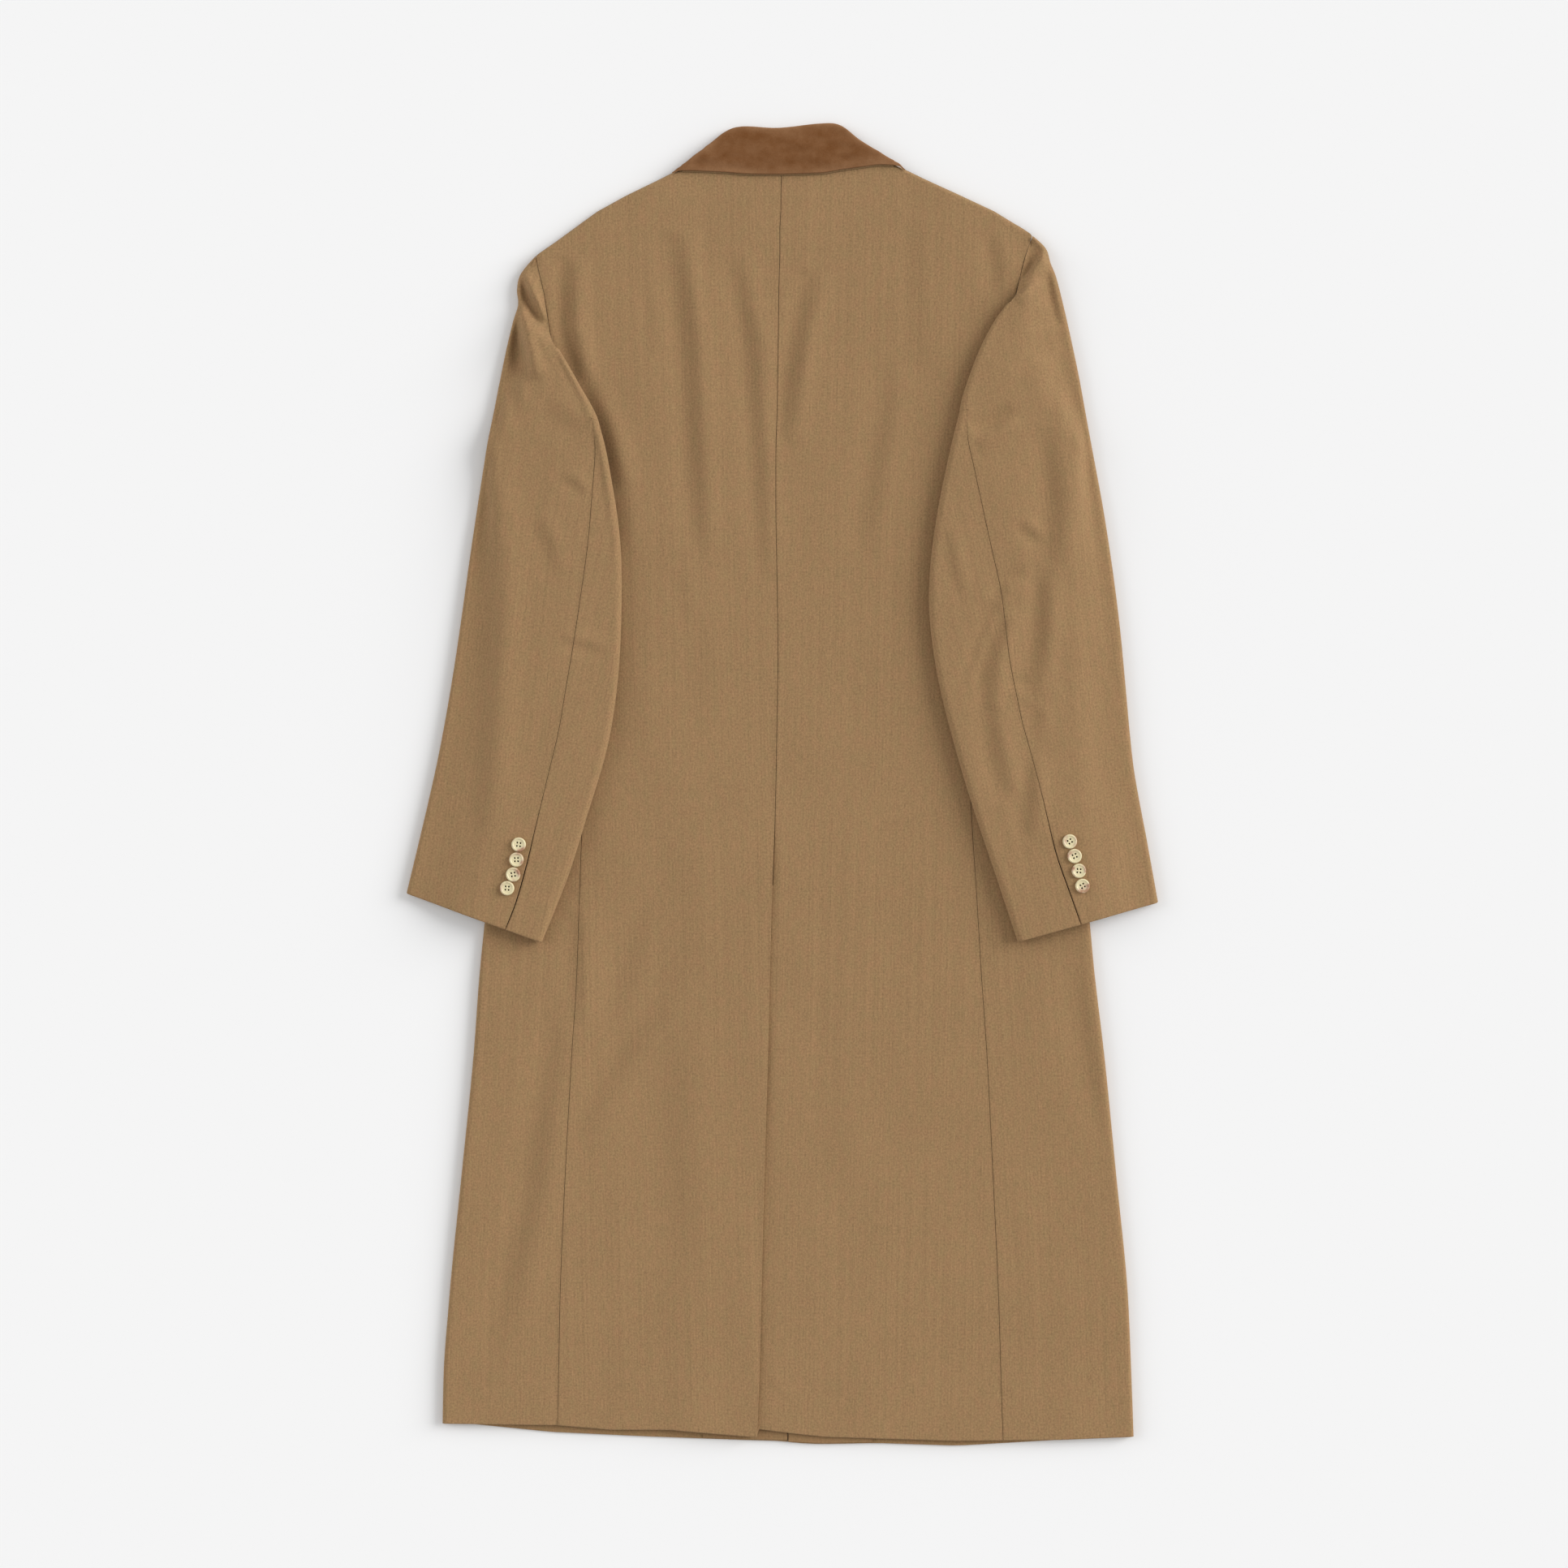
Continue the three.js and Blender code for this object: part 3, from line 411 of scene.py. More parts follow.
def body_top(x, y):
    return np.interp(y, HEIGHT["y"], HEIGHT["z"]) + fold_rise(BODY_FOLDS, x, y)


def fine_body(x, y):
    """Small creases and unevenness of the body, below the larger folds."""
    soft = BODY_WAVES * waves(x, y, 3, 42, 95, 2.2) + BODY_RIPPLES * waves(x, y, 5, 14, 30, 1.6)
    return soft + fold_rise(BODY_CREASES, x, y) + BODY_FOLD_SHARPENING * fold_rise(BODY_FOLDS, x, y)


def lap_rise(x, y):
    """How far the left back rises where it laps over the vent's underlap."""
    distance = centre_back(y) - x
    return (LAP_RISE * ramp(y, VENT_TOP + VENT_EASE, VENT_TOP + 2)
            * ramp(distance, 2.6 * VENT_UNDERLAP, 1.25 * VENT_UNDERLAP))


def inset(s, z, depth, turn, points_down=None):
    """The path of each row's section, moved inwards. Ends stay at their distance along."""
    before_s, after_s = np.roll(s, 1, 1), np.roll(s, -1, 1)
    before_z, after_z = np.roll(z, 1, 1), np.roll(z, -1, 1)
    before_s[:, 0], before_z[:, 0] = s[:, 0], z[:, 0]
    after_s[:, -1], after_z[:, -1] = s[:, -1], z[:, -1]
    ds, dz = after_s - before_s, after_z - before_z
    length = np.maximum(np.hypot(ds, dz), 1e-6)
    in_s, in_z = s - turn * depth * dz / length, z + turn * depth * ds / length
    for end in (0, -1):
        in_s[:, end] = s[:, end]
        in_z[:, end] = z[:, end] + np.sign(ds[:, end]) * turn * np.broadcast_to(depth, s.shape)[:, end]
    if points_down is not None:
        in_s[:, -1] = np.where(points_down, s[:, -1] - np.sign(ds[:, -1]) * depth, in_s[:, -1])
        in_z[:, -1] = np.where(points_down, z[:, -1], in_z[:, -1])
    return in_s, in_z


def edge_roll(distance, radius):
    """How far a sheet's face falls at a distance from its edge, on a round of this radius."""
    left = np.clip(radius - np.asarray(distance, float), 0, radius)
    return radius - np.sqrt(radius ** 2 - left ** 2)


# Distances from a seam at which a panel has columns, so that its edge rolls over.
EDGE_STEPS = np.array([0, 0.12, 0.35, 0.65, 1, 1.6, 2.6, 4.2, 6.4])


def seam_spread(start, end, step, at_start=True, at_end=True):
    """Columns between two places of each row, close together at the seams."""
    start, end = np.asarray(start, float), np.asarray(end, float)
    turn = np.sign(np.median(end - start))
    first = start[:, None] + turn * EDGE_STEPS if at_start else start[:, None]
    last = end[:, None] - turn * EDGE_STEPS[::-1] if at_end else end[:, None]
    count = max(3, int(np.median(abs(end - start)) / step))
    shares = np.linspace(0, 1, count + 2)[1:-1]
    middle = first[:, -1:] + (last[:, :1] - first[:, -1:]) * shares
    return np.concatenate([first, middle, last], axis=1)


def row_height(hem, y, x):
    return y + (np.interp(x, hem["x"], hem["y"]) - HEM_ROW) * ramp(y, HEM_ROW + HEM_BLEND, HEM_ROW)


def length_along(points):
    """Distance along each row's points from its first one."""
    steps = np.linalg.norm(np.diff(points, axis=1), axis=2)
    return np.concatenate([np.zeros((len(points), 1)), np.cumsum(steps, axis=1)], axis=1)


def new_object(name, data):
    made = bpy.data.objects.new(name, data)
    bpy.context.scene.collection.objects.link(made)
    return made


def quads(chosen, corners):
    """Faces of the chosen cells of a grid, from the grids of their four corners."""
    return np.stack([corner[chosen] for corner in corners], 1)


def cloth(name, outer, inner, present=None, weave=None, seam=None):
    """A closed sheet of cloth from grids of outer and inner points, in millimetres.
    weave holds each point's place on the flat cloth, and seam is 1 at a seam, falling to 0 away from it; it
    becomes the seam attribute, the mask of painted shade on the wool and painted sheen on the velvet."""
    rows, columns = outer.shape[:2]
    if present is None:
        present = np.ones((rows - 1, columns - 1), bool)
    grid = np.arange(rows * columns).reshape(rows, columns)
    under = grid + rows * columns
    a, b, c, d = grid[:-1, :-1], grid[1:, :-1], grid[1:, 1:], grid[:-1, 1:]
    ua, ub, uc, ud = under[:-1, :-1], under[1:, :-1], under[1:, 1:], under[:-1, 1:]
    padded = np.pad(present, 1)
    top = quads(present, (a, b, c, d))
    faces = [top, quads(present, (ud, uc, ub, ua))]
    walls = (
        (padded[:-2, 1:-1], (a, d, ud, ua)),
        (padded[2:, 1:-1], (c, b, ub, uc)),
        (padded[1:-1, :-2], (b, a, ua, ub)),
        (padded[1:-1, 2:], (d, c, uc, ud)),
    )
    for neighbour, corners in walls:
        faces.append(quads(present & ~neighbour, corners))
    faces = np.concatenate(faces)
    points = np.concatenate([outer.reshape(-1, 3), inner.reshape(-1, 3)]) * MM
    first, second, third, fourth = (points[faces[:, k]] for k in range(4))
    volume = (first * (np.cross(second, third) + np.cross(third, fourth))).sum()
    if volume < 0:
        faces = faces[:, ::-1]
    first, second, third, fourth = (points[top[:, k]] for k in range(4))
    used, faces = np.unique(faces, return_inverse=True)
    faces = faces.reshape(-1, 4)
    mesh = bpy.data.meshes.new(name + "_cloth")
    mesh.vertices.add(len(used))
    mesh.vertices.foreach_set("co", points[used].ravel())
    mesh.loops.add(faces.size)
    mesh.loops.foreach_set("vertex_index", faces.ravel().astype(np.int32))
    mesh.polygons.add(len(faces))
    mesh.polygons.foreach_set("loop_start", np.arange(0, faces.size, 4, dtype=np.int32))
    mesh.polygons.foreach_set("use_smooth", np.ones(len(faces), bool))
    mesh.update(calc_edges=True)
    if weave is None:
        weave = outer[..., :2]
    flat = np.concatenate([weave.reshape(-1, 2)] * 2)[used] * MM
    layer = mesh.uv_layers.new(name="UVMap")
    layer.data.foreach_set("uv", flat[faces.ravel()].astype(np.float32).ravel())
    if seam is not None:
        values = np.concatenate([np.broadcast_to(seam, (rows, columns)).ravel()] * 2)[used]
        mesh.attributes.new("seam", "FLOAT", "POINT").data.foreach_set("value", values.astype(np.float32))
    mesh.validate()
    return new_object(name + "_cloth", mesh)


def dress(piece, material, slot, *nodes):
    piece.data.materials.append(material)
    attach(piece, "root")
    if nodes:
        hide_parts(*nodes)
    return piece


def near_seam(distance, reach=1.6):
    """1 at a seam, falling to 0 away from it."""
    return np.exp(-((np.asarray(distance, float) / reach) ** 2))


# Panels of the body

def body_rows(top):
    """Rows of a panel up to its top, close together at the hem, the vent's top and the shoulders."""
    lower = np.arange(HEM_ROW, min(top, YOKE_ROWS_FROM), ROW_STEP)
    close = HEM_ROW + np.array([0.12, 0.35, 0.65, 1, 1.6, 2.4])
    upper = np.arange(YOKE_ROWS_FROM, top, YOKE_ROW_STEP)
    return np.unique(np.concatenate([lower, close, upper, [top, VENT_TOP, VENT_TOP - 0.6]]))


def hem_lowering(y):
    """How far the faces come together at the hem."""
    return edge_roll(y - HEM_ROW, HEM_ROLL)


def pucker(x, y, distance, seed):
    """Small tucks across a seam, which fade away from it."""
    return PUCKER_HEIGHT * waves(0 * x, y, seed, 7, 19, 1) * np.exp(-np.abs(distance) / PUCKER_REACH)


def back_panel(side):
    y = body_rows(SHOULDER_TOP)
    centre = centre_back(y) + side * HALF_GAP
    edge = back_edge(side, y) - side * np.where(y < SHOULDER_POINT, HALF_GAP, 0)
    x = seam_spread(centre, edge, COLUMN_STEP)
    lap_count = 0
    if side > 0:
        laps = centre[:, None] + np.linspace(-VENT_UNDERLAP, 0, 13)[:-1]
        lap_count = laps.shape[1]
        x = np.concatenate([laps, x], axis=1)
    rows_y = np.broadcast_to(y[:, None], x.shape)
    rounded = ramp(y, *SHOULDER_STARTS[side_name(side)])[:, None]
    share = np.abs(edge[:, None] - x) / SHOULDER_ROUND
    fall = np.where(share < 1, 1 - np.sqrt(np.clip(1 - (1 - share) ** 2, 0, 1)), 0)
    height = body_top(x, rows_y) + (lap_rise(x, rows_y) if side < 0 else 0)
    to_centre, to_edge = np.abs(x - centre[:, None]), np.abs(x - edge[:, None])
    fine = fine_body(x, rows_y) * ramp(to_edge, 0, FINE_FADE) * ramp(to_centre, 0, CENTRE_FADE)
    fine += pucker(x, rows_y, to_centre, 11) + pucker(x, rows_y, to_edge, 12 + side) * (1 - rounded)
    z = height + fine - rounded * fall * (height - WALL - SEAM_GAP)
    turn = 1 if side < 0 else -1
    in_x, in_z = inset(x, z, WALL, turn, rounded[:, 0] > 0.5)
    past_centre = x * side > centre[:, None] * side - 1e-6
    seam_distance = np.minimum(np.where(past_centre, to_centre, np.inf), to_edge)
    centre_roll = edge_roll(to_centre, CENTRE_SEAM_ROLL)
    side_roll = np.maximum(centre_roll, edge_roll(seam_distance, SEAM_ROLL))
    roll = np.where(rounded > 0.5, centre_roll, side_roll)
    if side > 0:
        below_vent = (y < VENT_TOP)[:, None]
        roll = np.where(below_vent & (to_centre < 2), 0, roll)
        roll = np.where(x < centre[:, None] - 1e-6, 0, roll)
    roll = np.minimum(roll + hem_lowering(rows_y), HEM_ROLL)
    outer = np.stack([x, row_height(BACK_HEM, rows_y, x), z - roll], axis=2)
    inner = np.stack([in_x, row_height(BACK_HEM, rows_y, in_x), in_z + roll], axis=2)
    present = np.ones((len(y) - 1, x.shape[1] - 1), bool)
    present[y[:-1] >= VENT_TOP, :lap_count] = False
    weave = np.stack([x - side * 0.02 * rows_y, rows_y], axis=2)
    return cloth("back_" + side_name(side), outer, inner, present, weave, near_seam(seam_distance))


def front_inside(side, y):
    """The front's edge at the centre, which opens into the neckline."""
    share = np.maximum(0, (y - NECK_POINT) / (FRONT_TOP - NECK_POINT))
    return CENTRE_FRONT + side * (HALF_GAP + NECK_SPREAD * share)


def front_panel(side):
    """On the surface from the centre front to the side fold, round it and on to the side-back seam."""
    y = body_rows(FRONT_TOP)
    lower = np.concatenate([[True], y[:-1] < UNDERARM])
    flat_y = np.minimum(y, UNDERARM)
    fold = front_edge(side, y)
    radius = body_top(fold - side * FOLD_INSET, flat_y) / 2
    seam = back_edge(side, np.minimum(flat_y, BELOW_UNDERARM)) + side * HALF_GAP
    flat_end = np.where(lower, fold - side * radius, fold - side * HALF_GAP)
    flat = np.linspace(front_inside(side, y), flat_end, FLAT_COLUMNS, axis=1)
    angles = np.linspace(-np.pi / 2, np.pi / 2, FOLD_POINTS)[1:-1]
    arc_s = fold[:, None] - side * radius[:, None] * (1 - np.cos(angles))
    arc_z = radius[:, None] * (1 + np.sin(angles))
    top = seam_spread(fold - side * radius, seam, COLUMN_STEP, at_start=False)
    flat_rows = np.broadcast_to(flat_y[:, None], top.shape)
    from_fold, to_seam = np.abs(top - (fold - side * radius)[:, None]), np.abs(top - seam[:, None])
    fine = fine_body(top, flat_rows) * ramp(to_seam, 0, FINE_FADE) * ramp(from_fold, -3, 12)
    fine += pucker(top, flat_rows, to_seam, 12 + side)
    top_z = body_top(top, flat_rows) + fine
    s = np.concatenate([flat, arc_s, top], axis=1)
    z = np.concatenate([np.zeros(flat.shape), arc_z, top_z], axis=1)
    in_s, in_z = inset(s, z, WALL, -1 if side < 0 else 1)
    plain = flat.shape[1]
    rows_y = np.broadcast_to(y[:, None], s.shape)
    columns = np.arange(s.shape[1])
    on_floor = columns < plain
    ends_flat = ~lower[:, None] & (columns == plain - 1)
    in_s = np.where(ends_flat, s, in_s)
    in_z = np.where((columns < plain - 1) | ends_flat, WALL, in_z)
    distance = np.where(columns >= plain + len(angles), np.abs(s - seam[:, None]), AWAY_FROM_SEAMS)
    roll = np.minimum(edge_roll(distance, SEAM_ROLL) + hem_lowering(rows_y), HEM_ROLL)

    def hem_y(across):
        below, above = (row_height(hem, rows_y, across) for hem in (FRONT_HEM, BACK_HEM))
        return np.where(on_floor, below, above)

    outer = np.stack([s, hem_y(s), np.where(on_floor, z, z - roll * np.sign(z - radius[:, None]))], axis=2)
    in_rolled = in_z + roll * np.sign(in_z - radius[:, None])
    inner = np.stack([in_s, hem_y(in_s), np.where(on_floor, in_z - 0.7 * roll, in_rolled)], axis=2)
    present = np.ones((len(y) - 1, s.shape[1] - 1), bool)
    present[y[:-1] >= UNDERARM, plain - 1:] = False
    along = length_along(np.stack([s, rows_y, z], axis=2))
    weave = np.stack([side * (along - along[:, -1:]), rows_y], axis=2)
    return cloth("front_" + side_name(side), outer, inner, present, weave, near_seam(distance))


def facing_panel(side):
    """Lies on the inside of the front along its edge."""
    y = body_rows(NECK_POINT)
    floor = WALL + SEAM_GAP
    start, end = np.full(len(y), FACING_START), np.full(len(y), float(FACING_WIDTH))
    across = seam_spread(start, end, FACING_COLUMN_STEP)
    x = CENTRE_FRONT + side * across
    rows_y = np.broadcast_to(y[:, None], x.shape)
    place = row_height(FRONT_HEM, rows_y, x) + FACING_SETBACK * ramp(rows_y, HEM_ROW + 110, HEM_ROW)
    distance = np.minimum(across - FACING_START, FACING_WIDTH - across)
    roll = edge_roll(distance, FACING_SIDE_ROLL) + edge_roll(rows_y - HEM_ROW, FACING_ROLL)
    roll = np.minimum(roll, FACING_ROLL)
    outer = np.stack([x, place, floor + FACING_WALL - roll], axis=2)
    inner = np.stack([x, place, np.full(x.shape, floor)], axis=2)
    weave = np.stack([x, rows_y], axis=2)
    return cloth("facing_" + side_name(side), outer, inner, None, weave, near_seam(distance))


# Sleeves

def clear_height(x, y):
    """Height just above the body at points and close around them."""
    highest = np.zeros(np.broadcast(x, y).shape)
    for dx in (-REST_REACH, 0, REST_REACH):
        for dy in (-REST_REACH, 0, REST_REACH):
            highest = np.maximum(highest, body_top(x + dx, y + dy))
    return highest + REST_GAP


def carrier_edge(side, y):
    """Edge of what a sleeve lies on: the body's side fold, and higher up the armhole of the back."""
    opened = ramp(y, UNDERARM + 10, UNDERARM + 110)
    front = front_edge(side, np.minimum(y, BELOW_UNDERARM))
    return mix(front, back_edge(side, np.minimum(y, ARMHOLE_TOP)), opened)


def sleeve_base(side, x, y, outer_x):
    """Height on which a sleeve lies: on the body, and from its edge down to the surface below."""
    edge = carrier_edge(side, y)
    beyond = side * (x - edge)
    reach = np.maximum(SLEEVE_DROP_REACH, side * (outer_x - edge) - SLEEVE_DROP_INSET)
    drop = ramp((beyond - SLEEVE_DROP_START) / (reach - SLEEVE_DROP_START), 0, 1)
    return mix(clear_height(np.where(np.abs(x) < np.abs(edge), x, edge), y), SLEEVE_FLOOR_GAP, drop)


class Section:
    """A section of a sleeve at a station: the line across it, its seams, and its lower and upper faces."""

    def __init__(self, side, rows, elbow, crossing, station):
        self.side, self.station, self.crossing = side, station, crossing
        at = lambda column: float(smooth_at(rows[column], station))
        self.outer = np.array([at("outerX"), at("outerY")])
        self.inner = np.array([at("innerX"), at("innerY")])
        self.width = float(np.hypot(*(self.inner - self.outer)))
        self.at_head = station > crossing - 0.5
        reaches_over = float(ramp(station, crossing + 1.5, crossing)) if self.at_head else 0
        self.over_back = reaches_over * (WALL + SEAM_GAP)
        self.fold_thickness = self.over_back if self.at_head else mix(
            SLEEVE_HEAD_THICKNESS, SLEEVE_FOLD_THICKNESS, float(ramp(station, crossing - 1, SEAM_STATION)))
        crosses = lambda p: side * (p[0] - np.interp(p[1], elbow["y"], elbow["x"])) < 0
        seam = self.bisect(lambda s: not crosses(self.point(s)))
        self.outer_radius = min(SLEEVE_EDGE_THICKNESS / 2, self.width * 0.4)
        near_fold = self.width - 4
        self.fold_radius = float(self.high(near_fold) - self.low(near_fold)) / 2
        self.upper_seam = min(seam, self.width - self.fold_radius - 1.5)
        self.lower_seam = max(self.bisect(self.beyond_limit), self.outer_radius + 2)

    def bisect(self, goes_on):
        s, step = 0, self.width / 2
        while step > 0.02:
            if goes_on(s + step):
                s += step
            step /= 2
        return s

    def beyond_limit(self, s):
        x, y = self.point(s)
        if self.station > SEAM_STATION:
            limit = front_edge(self.side, max(y, UNDERARM + 20)) + self.side * 1.5
        else:
            limit = front_edge(self.side, min(y, BELOW_UNDERARM)) + self.side * FOREARM_SEAM_CLEARANCE
        return self.side * (x - limit) > 0

    def point(self, s):
        share = np.asarray(s, float) / self.width
        return np.stack([mix(self.outer[k], self.inner[k], share) for k in (0, 1)], axis=-1)

    def low(self, s):
        p = self.point(s)
        return sleeve_base(self.side, p[..., 0], p[..., 1], self.outer[0])

    def high(self, s):
        share = ramp(s, 0, self.width * 0.8)
        if self.at_head:
            seam_top = float(body_top(*self.inner)) + self.over_back
            return mix(SLEEVE_FLOOR_GAP + SLEEVE_EDGE_THICKNESS, seam_top, share)
        return self.low(s) + mix(SLEEVE_EDGE_THICKNESS, self.fold_thickness, share)


def arc(count, edge, radius, low, high):
    """Half of a fold, as points between its two flat runs."""
    angles = np.linspace(-np.pi / 2, np.pi / 2, count + 2)[1:-1]
    return edge + radius * (1 - np.cos(angles)), (low + high) / 2 + (high - low) / 2 * np.sin(angles)


def sleeve_stations(last):
    return list(np.arange(0, SEAM_STATION, 0.5)) + list(range(SEAM_STATION, last + 1))


def fine_stations(last, breaks=()):
    """Stations for the fine rows, close together at the ends and where the sleeve's make changes."""
    step = 0.07
    close = np.array([0, 0.002, 0.006, 0.012, 0.02, 0.035])
    places = [np.arange(0, last, step), close, last - close]
    for place in breaks:
        places += [place - close, place + close]
    return np.unique(np.round(np.concatenate(places), 4))


def seam_half_gap(station):
    """Half of the opening at the elbow seam, which widens beside the cuff buttons."""
    return float(mix(HALF_GAP, CUFF_HALF_GAP, ramp(station, 2, 0.8)))


def between_stations(rows, stations, wanted):
    """Rows of points at other stations, on smooth curves through the given ones."""
    rows = np.array(rows)
    place = np.interp(wanted, stations, np.arange(len(stations)))
    return smooth_at(rows, place)


def resampled(start, end, shares):
    """Places between start and end at fixed shares, ending in the close steps of a seam."""
    turn = 1 if end > start else -1
    last = end - turn * EDGE_STEPS[::-1]
    return np.concatenate([start + (last[0] - start) * shares, last])


def section_points(section, s, z, upper):
    """Outer and inner points of a section, and facts: place across, width, and 1 on the upper face."""
    in_s, in_z = (values[0] for values in inset(s[None], z[None], WALL, -1))
    facts = np.column_stack([s, np.full(len(s), section.width), upper])
    return np.column_stack([section.point(s), z]), np.column_stack([section.point(in_s), in_z]), facts


def row_distance(rows):
    """Distance travelled from the cuff to each row of points."""
    steps = np.linalg.norm(np.diff(rows[:, :, :2].mean(axis=1), axis=0), axis=1)
    return np.concatenate([[0], np.cumsum(steps)])


SHARES_ABOVE = np.linspace(0, 1, 44)[:-1]
SHARES_BELOW = np.linspace(0, 1, 12)
SHARES_UNDER = np.linspace(0, 1, 40)


def finish_sleeve(name, outer, inner, facts, side, present, edge_distance, origin, far, lean):
    """Adds the folds and creases to a sleeve's upper face, and rolls its edges.
    The weave is laid out flat from one column towards a far one, and its warp leans."""
    s, width, upper = facts[..., 0], facts[..., 1], facts[..., 2]
    x, y = outer[..., 0], outer[..., 1]
    soft = SLEEVE_FOLD_DEPTH * fold_rise(SLEEVE_FOLDS, x, y)
    tilt = 0.25 * side
    soft += SLEEVE_WAVES * waves(x + tilt * y, y, 21 + side, 38, 85, 2)
    soft += SLEEVE_RIPPLES * waves(x + tilt * y, y, 24 + side, 14, 28, 1.6)
    near_fold = np.minimum(SEAM_FADE, width / 4)
    fade = ramp(s / EDGE_FADE, 0, 1) * ramp((width - s) / near_fold, 0, 1) * np.clip(upper, 0, 1)
    creases = SLEEVE_CREASE_DEPTH * fold_rise(SLEEVE_CREASES, x, y) * ramp(s / EDGE_FADE, 0, 1)
    raised = soft * fade + creases * np.clip(upper, 0, 1)
    outer[..., 2] += raised
    inner[..., 2] += raised
    travelled = row_distance(outer)
    cuff = edge_roll(travelled[:, None], HEM_ROLL)
    open_seam = mix(SEAM_ROLL, CUFF_SEAM_ROLL, ramp(travelled, CUFF_SEAM_END, CUFF_SEAM_START))[:, None]
    roll = np.minimum(edge_roll(edge_distance, open_seam) + cuff, HEM_ROLL)
    across = inner - outer
    across /= np.maximum(np.linalg.norm(across, axis=2, keepdims=True), 1e-6)
    outer += across * roll[..., None]
    inner -= across * roll[..., None]
    along = length_along(outer)
    along = along - along[:, origin:origin + 1]
    start = outer[:, origin, None, :2]
    across_cloth = outer[:, far, :2] - outer[:, origin, :2]
    across_cloth /= np.maximum(np.linalg.norm(across_cloth, axis=1, keepdims=True), 1e-6)
    warp = np.array([-side * lean, 1]) / math.hypot(lean, 1)
    weft = np.array([warp[1], -warp[0]])
    weave = np.stack([start @ weft + along * (across_cloth @ weft)[:, None],
                      start @ warp + np.abs(along) * (across_cloth @ warp)[:, None]], axis=2)
    return cloth(name, outer, inner, present, weave, near_seam(edge_distance))


def top_sleeve(side, rows, elbow, crossing):
    """From the seam below, round the outer contour and over to the elbow seam."""
    stations = sleeve_stations(LAST_STATION)
    below_count, arc_count, above_count = len(SHARES_BELOW), 12, len(SHARES_ABOVE) + len(EDGE_STEPS)
    fold_count, under_count = 8, 6
    plain = below_count + arc_count + above_count - 1
    full_count = plain + 1 + fold_count + under_count
    made = []
    for station in stations:
        section = Section(side, rows, elbow, crossing, station)
        width, radius = section.width, section.outer_radius
        floor = (lambda s: np.full(np.shape(s), SLEEVE_FLOOR_GAP)) if station > SEAM_STATION else section.low
        below_s = mix(section.lower_seam - 2 * HIDDEN_GAP, radius, SHARES_BELOW)
        arc_s, arc_z = arc(arc_count, 0, radius, float(floor(radius)), float(section.high(radius)))
        past_fold = SEAM_STATION <= station < crossing - 0.5
        turned = width - section.fold_radius
        end = section.upper_seam - seam_half_gap(station)
        if station > SEAM_STATION:
            end = turned if past_fold else width - HIDDEN_GAP
        above_s = resampled(radius, end, SHARES_ABOVE)
        s = np.concatenate([below_s, arc_s, above_s])
        z = np.concatenate([floor(below_s), arc_z, section.high(above_s)])
        upper = np.concatenate([np.zeros(below_count), np.linspace(0, 1, arc_count), np.ones(above_count)])
        if past_fold:
            low, high = float(section.low(turned)), float(section.high(turned))
            fold_s, fold_z = arc(fold_count, width, -section.fold_radius, low, high)
            under_s = np.linspace(turned, turned - UNDERLAY_WIDTH, under_count)
            s = np.concatenate([s, fold_s[::-1], under_s])
            z = np.concatenate([z, fold_z[::-1], section.low(under_s)])
            upper = np.concatenate([upper, np.linspace(1, 0, fold_count), np.zeros(under_count)])
        missing = ((0, full_count - len(s)), (0, 0))
        made.append([np.pad(values, missing, "edge") for values in section_points(section, s, z, upper)])
    wanted = fine_stations(LAST_STATION, (SEAM_STATION, crossing - 1))
    outer, inner, facts = (between_stations(layer, stations, wanted) for layer in zip(*made))
    at_head = ramp(wanted, crossing - 0.2, crossing + 0.3)[:, None]
    seam_y = np.clip(outer[:, plain, 1], 0, SHOULDER_POINT - 0.1)
    seam_x = back_edge(side, seam_y) + side * HEAD_SEAM_GAP
    shift = (seam_x - outer[:, plain, 0])[:, None] * at_head
    from_seam = facts[:, plain, None, 0] - facts[..., 0]
    near_top = ramp(wanted, LAST_STATION - 0.7, LAST_STATION)[:, None]
    shift = shift * np.maximum(ramp(from_seam, 9, 0), near_top)
    outer[:, :plain + 1, 0] += shift[:, :plain + 1]
    inner[:, :plain + 1, 0] += shift[:, :plain + 1]
    folded = (wanted >= SEAM_STATION) & (wanted < crossing - 1)
    present = np.ones((len(wanted) - 1, outer.shape[1] - 1), bool)
    present[~folded[:-1], plain:] = False
    seam_distance = np.abs(facts[..., 0] - facts[:, plain:plain + 1, 0])
    seam_distance[:, :below_count + arc_count] = AWAY_FROM_SEAMS
    seamless = ((wanted >= SEAM_STATION) & (wanted <= crossing - 1))[:, None]
    seam_distance = np.where(seamless, AWAY_FROM_SEAMS, seam_distance)
    return finish_sleeve(f"sleeve_{side_name(side)}_top", outer, inner, facts, side, present, seam_distance,
                         below_count + arc_count // 2, plain, TOP_SLEEVE_LEAN)


